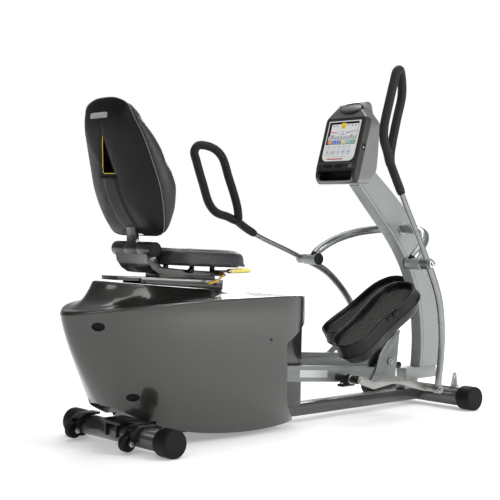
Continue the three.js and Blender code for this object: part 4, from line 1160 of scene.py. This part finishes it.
# seat pad
SL = 22 / 372
seatHalf = [(520, 0, 0), (508, 62, 0), (470, 122, 0), (412, 166, 0), (330, 190, 0), (230, 196, 0), (150, 188, 0), (108, 160, 0), (97, 120, 0), (95, 60, 0), (95, 0, 0)]
seat0 = respace(outline(seatHalf, 400), 160, True)


def sring(k, w):
    r = seat0.copy()
    r[:, 0] = 300 + (r[:, 0] - 300) * k
    r[:, 1] *= k
    r[:, 2] = 711 - (r[:, 0] - 46) * SL - w
    return r


sprof = catmull([(0.02, 57, 0), (0.5, 57, 0), (0.90, 57, 0), (0.955, 53, 0), (0.978, 36, 0), (0.972, 18, 0), (0.925, 6.5, 0), (0.80, 4.5, 0), (0.5, 4.0, 0), (0.02, 4.0, 0)], False, 36)
seat = loft("seat_pad", [sring(max(0.02, p[0]), p[1]) for p in sprof], M["vinyl"])
puff(seat, 8, lambda x, y, z: 1.0 if z < 711 - (x - 46) * SL - 50 else 0.0, pressure=2.0, frames_=12, soften=22)
sb = BVHTree.FromObject(seat, bpy.context.evaluated_depsgraph_get())


def on_seat(x, y, lift=0.0):
    h = sb.ray_cast(Vector(((x - OX) / 1000, y / 1000, 1.2)), Vector((0, 0, -1)))
    if h[0] is None:
        return None
    p, n = h[0], h[1]
    return (p.x * 1000 + OX + n.x * lift, p.y * 1000 + n.y * lift, p.z * 1000 + n.z * lift)


sl_ = [on_seat(p[0], p[1]) for p in sring(0.86, 0)]
sl_ = respace([p for p in sl_ if p], 200, True)
crease(seat, sl_, 5.0, 3.6, (0, 0, -1))
# gentle hollow where the rider sits
for v in seat.data.vertices:
    x, y, z = v.co.x * 1000 + OX, v.co.y * 1000, v.co.z * 1000
    if z > 711 - (x - 46) * SL - 20:
        v.co.z -= 0.0045 * math.exp(-((x - 235) / 95) ** 2 - (y / 105) ** 2)
seat.data.update()
put(seat, "seat", "vinyl", "seat_cushion")
sb = BVHTree.FromObject(seat, bpy.context.evaluated_depsgraph_get())
s2 = [on_seat(p[0], p[1], 0.4) for p in sring(0.86, 0)]
s2 = respace([p for p in s2 if p], 220, True)
put(tube("seat_welt", s2, 2.1, M["vinyl"], seg=10, closed=True), "seat", "vinyl")
# board under the seat pad, on spacers
board = loft("board", [sring(0.86, 60.5), sring(0.885, 60.0), sring(0.885, 57.5), sring(0.86, 57.2)], M["shell"])
bits = [board]
for x in (150, 362):
    for y in (-62, 62):
        zb = 611 - (x - 130) * SL + 4.2
        zt_ = 711 - (x - 46) * SL - 60
        bits.append(lathe("spacer", [(0.01, 0), (9, 0), (9.6, 0.8), (9.6, zt_ - zb - 0.8), (9, zt_ - zb), (0.01, zt_ - zb)], (x, y, zb), M["blackmetal"], axis='Z', seg=28))
put(join("seat_board", bits), "seat", "tray_plastic")


# ------------------------------------------------------------------ console
FA = math.radians(17)


def fp(a, s, d):
    """Console face: a across (to the rider's right), s up the face, d out of it."""
    return (1052 + math.sin(FA) * s - math.cos(FA) * d, -a, 1008 + math.cos(FA) * s + math.sin(FA) * d)


shellProf = [(1047, 972), (1052, 1008), (1085, 1117), (1117, 1224), (1131, 1262), (1160, 1284), (1190, 1281), (1201, 1256), (1193, 1150), (1184, 1046), (1173, 988), (1148, 954), (1100, 945), (1060, 950)]
prof = catmull([(a, 0, b) for a, b in shellProf], True, 280)
prof = respace(prof, 140, True)
ccx, ccz = 1125.0, 1110.0
rings = []
for t in np.linspace(0, 1, 9):
    rings.append((-118 + 12 * (1 - math.cos(t * math.pi / 2)) * 0 - 0, 0))
rings = []
ts = np.linspace(0, math.pi / 2, 9)
prof_of = [(118 - 12 * (1 - math.sin(t)), 1 - 0.14 * (1 - math.cos(t))) for t in ts]   # (y, scale) from full size to the rounded side
side_in = [(118.0, 0.78), (118.0, 0.6), (118.0, 0.35), (118.0, 0.05)]


def cring(y, k):
    r = prof.copy()
    r[:, 0] = ccx + (r[:, 0] - ccx) * k
    r[:, 2] = ccz + (r[:, 2] - ccz) * k
    r[:, 1] = y
    return r


half_r = [cring(y, k) for y, k in prof_of] + [cring(y, k) for y, k in side_in]
con = loft("console_shell", [r * np.array([1, -1, 1]) for r in half_r[::-1]] + [cring(0, 1.0)] + half_r, M["con_dark"], smooth=40)
tray_c = plate("tc", [(1030, 962), (1030, 1000), (1092, 998), (1096, 972), (1080, 962)], -96, 96, M["con_black"], bevel=0)
face_c = plate("fc", [(0, 0), (1, 0), (1, 1), (0, 1)], -100, 100, M["con_dark"], bevel=0,
               place=lambda a, b, y: fp(y, 30 + 182 * a, 30 - 36 * b))
bm = bmesh.new()
bm.from_mesh(con.data)
cuts = [(fp(0, 100, -30), (math.cos(FA), 0, -math.sin(FA)), "all"), (fp(0, 222, 0), (-math.sin(FA), 0, -math.cos(FA)), "all"), (fp(0, 219, 0), (-math.sin(FA), 0, -math.cos(FA)), "all")]
for co_, no_, _ in cuts:
    bmesh.ops.bisect_plane(bm, geom=bm.verts[:] + bm.edges[:] + bm.faces[:], dist=1e-6, plane_co=S(co_), plane_no=no_)
bm.to_mesh(con.data)
bm.free()
con.data.materials.append(M["con_silver"])
fx, fz = math.cos(FA), -math.sin(FA)


def face_sd(c):
    x, z = c.x * 1000 + OX - 1052, c.z * 1000 - 1008
    return x * math.sin(FA) + z * math.cos(FA), -x * math.cos(FA) + z * math.sin(FA)


for v in con.data.vertices:
    s_, d_ = face_sd(v.co)
    t_ = max(0.0, min(1.0, (s_ - 210) / 62))
    v.co.y *= 1 - 0.40 * t_ * t_ * (3 - 2 * t_)
for p in con.data.polygons:
    s_, d_ = face_sd(p.center)
    p.material_index = 1 if (d_ < -30 or s_ > 222) else 0
for c_ in (tray_c, face_c):
    m_ = con.modifiers.new("b", "BOOLEAN")
    m_.object = c_
    m_.solver = 'EXACT'
    m_.material_mode = 'TRANSFER'
    bake(con, [], None) if False else None
    dg = bpy.context.evaluated_depsgraph_get()
    nm = bpy.data.meshes.new_from_object(con.evaluated_get(dg))
    con.modifiers.clear()
    con.data = nm
    bpy.data.objects.remove(c_)
shade(con, 35)


def chip(a, s, w, h, mat, d0=1.0, d1=2.6, r=1.5, k=4, shape=None):
    """Small raised pad on the face with rounded corners."""
    r = min(r, w / 2 - 0.01, h / 2 - 0.01)
    pts = []
    for cx_, cy_, t0 in ((w / 2 - r, h / 2 - r, 0), (-w / 2 + r, h / 2 - r, 90), (-w / 2 + r, -h / 2 + r, 180), (w / 2 - r, -h / 2 + r, 270)):
        for i in range(k + 1):
            t = math.radians(t0 + 90 * i / k)
            pts.append((a + cx_ + r * math.cos(t), s + cy_ + r * math.sin(t)))
    if shape:
        pts = shape
    return plate("chip", pts, d0, d1, mat, bevel=0.25, place=lambda u, v, d: fp(u, v, d), segs=1)


parts = [con]
# recessed bezel plate and the pale overlay with its rounded foot
parts.append(chip(0, 121, 198.6, 180.6, M["con_dark"], -7.6, 0.2, 3))
ov = []
W2, T2 = 93.5, 208.5
for cx_, cy_, t0, r in ((W2 - 4, T2 - 4, 0, 4), (-W2 + 4, T2 - 4, 90, 4), (-W2 + 30, 34 + 26, 180, 0), (W2 - 30, 34 + 26, 270, 0)):
    if r:
        for i in range(6):
            t = math.radians(t0 + 90 * i / 5)
            ov.append((cx_ + r * math.cos(t), cy_ + r * math.sin(t)))
    else:
        for i in range(13):
            t = math.radians(t0 + 90 * i / 12)
            ov.append((cx_ + 30 * math.cos(t), cy_ + 26 * math.sin(t)))
parts.append(chip(0, 0, 1, 1, M["overlay"], 0.2, 1.3, shape=ov))
# screen
parts.append(chip(-2, 155, 172, 98, I["black"], 1.3, 1.6, 2))
parts.append(chip(4.5, 151, 156, 86, I["white"], 1.6, 1.75, 1))
for a_, w_, c_ in ((-66, 26, "orange"), (-39, 26, "blue"), (-12, 26, "blue"), (15, 26, "yellow"), (42, 26, "cyan"), (68, 24, "green")):
    parts.append(chip(a_, 116, w_ - 1.2, 13, I[c_], 1.75, 1.95, 2))
    parts.append(chip(a_, 116, w_ * 0.36, 4.5, I["white"], 1.95, 2.05, 2))
parts.append(chip(1, 133, 163, 17, I["lgray"], 1.75, 1.85, 0.6))
parts.append(chip(-4, 186, 27, 25, I["yellow"], 1.75, 1.95, 1))
parts.append(chip(-4, 189, 15, 3, I["orange"], 1.95, 2.05, 1))
parts.append(chip(-4, 181, 11, 4, I["gray"], 1.95, 2.05, 1))
parts.append(chip(-2, 152, 46, 26, I["lgray"], 1.85, 2.0, 6))
parts.append(chip(-2, 152, 42, 22, I["white"], 2.0, 2.1, 5))
for a_ in (-9, 5):
    parts.append(chip(a_, 149, 7, 7, I["gray"], 2.1, 2.2, 1.5))
parts.append(chip(-2, 158, 12, 2.4, I["red"], 2.1, 2.2, 1))
for a_, c_ in ((-60, "gray"), (-42, "gray"), (30, "pale"), (48, "red"), (66, "gray")):
    parts.append(chip(a_, 187, 8, 5.5, I[c_], 1.75, 1.9, 1.2))
parts.append(chip(-60, 160, 40, 3.2, I["red"], 1.75, 1.95, 1, shape=[(-80, 163), (-80, 159.5), (-30, 154.5), (-30, 157.5)]))
parts.append(chip(60, 160, 40, 3.2, I["red"], 1.75, 1.95, 1, shape=[(28, 154.5), (78, 161), (78, 164), (28, 157.5)]))
parts.append(chip(30, 157, 16, 3, I["black"], 1.95, 2.05, 1))
for a_ in (-58, 54):
    parts.append(chip(a_, 141, 12, 7, I["gray"], 1.85, 2.0, 2))
    parts.append(chip(a_, 147.5, 22, 2, I["gray"], 1.75, 1.9, 0.8))
# membrane keys
for i, a_ in enumerate((-66, -36, -6, 24, 54)):
    parts.append(chip(a_, 95, 25, 10, I["lgray"], 1.3, 1.7, 3))
    parts.append(chip(a_, 95, 22.5, 7.6, M["overlay"], 1.7, 2.1, 2.5))
    parts.append(chip(a_, 95, 11, 1.6, I["gray"], 2.1, 2.2, 0.7))
for a_, c_ in ((-66, "tan"), (-36, "violet"), (-5, "mint"), (25, "pale"), (55, "pale")):
    rr = 4 if c_ == "tan" else 12
    parts.append(chip(a_, 73, 25, 24, I[c_], 1.3, 1.8, rr, 6))
    parts.append(chip(a_, 73, 20.5, 19.5, M["overlay"], 1.8, 2.3, max(2, rr - 2.4), 6))
    parts.append(chip(a_, 73, 8, 8, I["gray" if c_ != "pale" else "blue"], 2.3, 2.4, 3.5, 5))
parts.append(chip(-8, 52, 110, 1.8, I["lgray"], 1.3, 1.6, 0.8))
parts.append(chip(-16, 43, 92, 4.6, I["red"], 1.3, 1.6, 1.2))
# ledge under the face: bright line, ribbed bar and its end pads
parts.append(chip(0, 25.5, 208, 2.6, M["con_silver"], -1.5, 2.4, 1.2))
parts.append(chip(0, 9.5, 214, 22, M["con_dark"], -3, 6.5, 3))
for i in range(15):
    parts.append(chip(-62 + i * 7.4, 10, 3.0, 13, M["con_black"], 6.5, 8.2, 1.2))
for a_ in (-92, 90):
    parts.append(chip(a_, 9.5, 17, 15, M["con_silver"] if a_ > 0 else M["con_dark"], 6.5, 8.4, 3))
parts.append(chip(-6, 10, 2.2, 19, M["con_silver"], 6.5, 8.6, 0.8))
# lower lip round the tray mouth
lipP = catmull([(1056, -99, 986), (1050, -99.5, 972), (1050, -96, 962), (1049, -80, 958.5), (1049, 0, 957.5), (1049, 80, 958.5), (1050, 96, 962), (1050, 99.5, 972), (1056, 99, 986)], False, 90)
parts.append(tube("lip", respace(lipP, 90), 4.2, M["con_silver"], seg=12, round_end=1.0))
# dark oval dish on the brow
bc_ = np.array([1133.5, -14, 1256.0])
nb_ = np.array([-0.80, 0, 0.60])
dish = disc_rings(bc_, nb_, [(0.01, 3.0), (0.55, 2.4), (0.85, 3.2), (0.93, 5.2), (0.97, 6.0), (1.0, 5.6), (1.01, 3.5), (1.0, -4), (0.01, -4)], 64, 27, 72)
dd = []
for (r_, h_), ring in zip([(0.01, 3.0), (0.55, 2.4), (0.85, 3.2), (0.93, 5.2), (0.97, 6.0), (1.0, 5.6), (1.01, 3.5), (1.0, -4), (0.01, -4)], dish):
    dd.append(ring)
parts.append(loft("dish", dd, M["con_black"], caps=False, smooth=40))
# socket plate with a small key on the rider's right side
for y_, m_, s0, s1, d0, d1 in ((118.2, M["con_black"], 84, 112, -27, -8), (119.4, I["lgray"], 92, 98, -21, -14)):
    parts.append(plate("side_key", [(s0, d0), (s1, d0), (s1, d1), (s0, d1)], 112, y_, m_, bevel=1.0, place=lambda a, b, y: fp(y, a, b)))
console = join("console_skin", parts)
put(console, "root", "console_plastic", "console_housing", "console_face")

# ------------------------------------------------------------------ end caps, wheels
CAPP = [(39.3, 0.4), (44.5, 0.2), (47.6, 3.2), (49.2, 8.5), (50, 10.5), (50, 64.5), (49.2, 68.2), (47.2, 70.4), (44.2, 71.6), (41.5, 71.9), (40.6, 71.2), (39.7, 71.9), (20, 72.0), (0.01, 72.0)]
for tag, x, half, sd in (("rear_l", 0, 322, 1), ("rear_r", 0, 322, -1), ("front_l", 1566, 315, 1), ("front_r", 1566, 315, -1)):
    pr = [(r, sd * (half - 72 + h)) for r, h in CAPP] + [(0.01, sd * (half - 9)), (39.3, sd * (half - 9))]
    c = lathe("cap_skin_" + tag, pr, (x, 0, 50), M["rubber"], seg=72, smooth=30)
    put(c, "root", "cap_rubber", "end_cap_" + tag)
for tag, y in (("r", -140), ("l", 205)):
    tyre = [(10.5, -13), (21.5, -13), (23, -14), (27, -13.6), (29.4, -11.5), (30, -8.5), (30, -3), (29.2, -2.4), (29.2, 2.4), (30, 3), (30, 8.5), (29.4, 11.5), (27, 13.6), (23, 14), (21.5, 13), (10.5, 13)]
    w = [lathe("tyre", tyre, (-74, y, 38), M["rubber"], seg=64, smooth=28)]
    hub = [(6.1, -12), (11, -12), (12, -10.5), (21, -9.5), (21.8, -11), (21.8, 11), (21, 9.5), (12, 10.5), (11, 12), (6.1, 12)]
    w.append(lathe("hub", hub, (-74, y, 38), M["tray"], seg=48, smooth=30))
    ax = [(0.01, -34), (3.6, -34), (4.2, -33), (8.6, -32.6), (9.4, -31.4), (9.4, -27.6), (6, -27.2), (6, 27.2), (9.4, 27.6), (9.4, 31.4), (8.6, 32.6), (4.2, 33), (3.6, 34), (0.01, 34)]
    w.append(lathe("axle", ax, (-74, y, 38), M["steel"], seg=36, smooth=30))
    put(join("wheel_skin_" + tag, w), "wheel_" + tag, "cap_rubber", "transport_wheel_" + tag)

# ------------------------------------------------------------------ levers and small hardware
g = [(4.9, 0), (8.2, 0.4), (9.0, 2.5), (9.0, 10)]
for i in range(9):
    h = 14 + i * 7.6
    g += [(8.0, h), (8.0, h + 1.6), (9.0, h + 2.6), (9.0, h + 6.2)]
g += [(9.0, 88), (8.6, 92), (6.2, 94.6), (0.01, 95)]
lv_ = [lathe("grip", [(r, h) for r, h in g] + [(0.01, 1.0)], (384, -140, 617), M["yellow"], axis='X', seg=36, smooth=40)]
rod = respace(catmull([(338, -100, 617), (338, -122, 617), (339.5, -134, 617), (346, -139.5, 617), (356, -140, 617), (392, -140, 617)], False, 80), 60)
lv_.append(tube("rod", rod, 4.6, M["seatmetal"], seg=20))
lv_.append(lathe("collar", [(4.7, 0), (7.6, 0), (8.4, 0.8), (8.4, 7.2), (7.6, 8), (4.7, 8)], (374, -140, 617), M["steel"], axis='X', seg=30))
put(join("slide_lever_skin", lv_), "slide_lever", "lever_yellow", "slide_lever")
rp = respace(catmull([(370, -101, 605), (370, -112, 605), (369, -119, 603), (362, -120, 597), (345, -120, 585), (318, -120, 577), (302, -120, 575)], False, 120), 70)
tpr = np.ones(70)
tpr[-14:] = np.linspace(1.0, 1.22, 14)
put(tube("recline_lever_skin", rp, 4.6, M["orange"], seg=22, taper=tpr, round_end=1.0), "recline_lever", "lever_orange", "recline_lever")
# end plugs of the recline hinge tube
hp = []
for sd in (-1, 1):
    pr = [(0.01, sd * 112), (25.2, sd * 112), (26.8, sd * 117.3), (26.4, sd * 118.6), (24.2, sd * 119.6), (21.5, sd * 119.9), (20.9, sd * 119.2), (20.3, sd * 119.9), (0.01, sd * 120.1)]
    hp.append(lathe("plug", pr, (63.6, 0, 702.3), M["rubber"], seg=56, smooth=30))
put(join("hinge_plugs", hp), "seat", "cap_rubber")


def hexbolt(c, n, r, h, mat, washer=True):
    """Hex head with a chamfered crown on a washer, along n from c."""
    out = []
    if washer:
        out.append(loft("washer", disc_rings(np.array(c, float), n, [(0.01, 0), (r * 1.45, 0), (r * 1.5, 0.4), (r * 1.5, 1.3), (r * 1.4, 1.7), (0.01, 1.7)], seg=32, up=(0.1, 0.2, 1)), mat, caps=False))
    out.append(loft("hex", disc_rings(np.array(c, float), n, [(0.01, 1.6), (r * 1.02, 1.6), (r * 1.02, h * 0.85), (r * 0.9, h), (0.01, h)], seg=6, up=(0.1, 0.2, 1)), mat, caps=False, smooth=20))
    out.append(loft("crown", disc_rings(np.array(c, float), n, [(0.01, h - 0.6), (r * 0.78, h - 0.3), (r * 0.55, h + 0.35), (0.01, h + 0.5)], seg=24, up=(0.1, 0.2, 1)), mat, caps=False))
    return out


for tag, sd, ox in (("r", -1, 0), ("l", 1, 324)):
    b = []
    y_ = sd * (165 + 34)
    b += hexbolt((1175 + ox, y_, 228), (0, sd, 0), 7.6, 6.0, M["zinc"])
    put(join("bracket_bolt_" + tag, b), "tray_" + tag, "bolt_steel")
    q = []
    # blank badge plate on the outer side of the bar
    yb = sd * 185.2
    def bar_pl(a, b_, y):
        x = a + ox
        return (x, y, 221.5 - (a - 642) * 0.0925 + b_)
    if sd < 0:
        q.append(plate("badge", [(688, -13), (832, -13), (834, -11), (834, 13), (832, 15), (690, 15), (688, 13)], yb, sd * 186.4, M["blank"], bevel=0.4, place=bar_pl, segs=1))
        put(join("bar_badge_" + tag, q), "bar_" + tag, "link_metal")
    # clamp screws of the link axle
    cl = []
    cxo = ox + (8.46 if sd > 0 else 0)
    cl += hexbolt((878 + cxo, sd * 221, 166), (0, 0, 1), 5.0, 5.5, M["steel"])
    cl += hexbolt((924 + cxo, sd * 221, 166), (0, 0, 1), 5.0, 5.5, M["steel"])
    cl.append(lathe("ring", [(16.1, 0), (18.4, 0), (18.9, sd * 0.8), (18.9, sd * 7), (18.4, sd * 8), (16.1, sd * 8)], (891 + cxo, sd * 240, 187), M["rubber"], seg=40))
    cl.append(lathe("ring2", [(16.1, 0), (17.8, 0), (18.1, sd * 0.6), (18.1, sd * 3), (16.1, sd * 3.4)], (891 + cxo, sd * 262, 187), M["steel"], seg=40))
    put(join("axle_hardware_" + tag, cl), "bar_" + tag, "bolt_steel")
    # socket screw at the link end
    lk = []
    e0 = (891, 187) if sd < 0 else None
    if sd < 0:
        lk.append(loft("eye", disc_rings(np.array((891, -313, 187.0)), (0, -1, 0), [(0.01, 0), (8.6, 0), (9.4, 0.8), (9.4, 3.6), (8.4, 4.8), (4.4, 5.0), (4.1, 3.2), (0.01, 3.2)], seg=32, up=(0, 0, 1)), M["zinc"], caps=False))
        put(join("link_eye_r", lk), "link_r", "bolt_steel")
# pivot washers on the swing arms
for tag, sd in (("r", -1), ("l", 1)):
    pv = [lathe("w", [(9.5, sd * 341.0), (23.6, sd * 340.4), (24.4, sd * 340.6), (24.4, sd * 341.6), (23.6, sd * 342.2), (9.5, sd * 342.0)], (PX, 0, PZ), M["steel"], seg=48)]
    pv.append(lathe("endcap", [(0.01, sd * 256.0), (21.5, sd * 256.0), (24.6, sd * 257.2), (25.6, sd * 259.5), (25.6, sd * 262.5), (24.8, sd * 263.4), (0.01, sd * 263.4)], (PX, 0, PZ), M["rubber"], seg=48))
    put(join("pivot_trim_" + tag, pv), "root", "bolt_steel")
# black hex screws at the rail ends under the seat
sb_ = []
for x_ in (60, 380):
    for y_ in (-1, 1):
        sb_ += hexbolt((x_, y_ * 58, 590 - (x_ - 46) * SL - 4), (0, y_, 0), 4.2, 3.4, M["blackmetal"], washer=True)
put(join("rail_screws", sb_), "root", "bolt_steel")
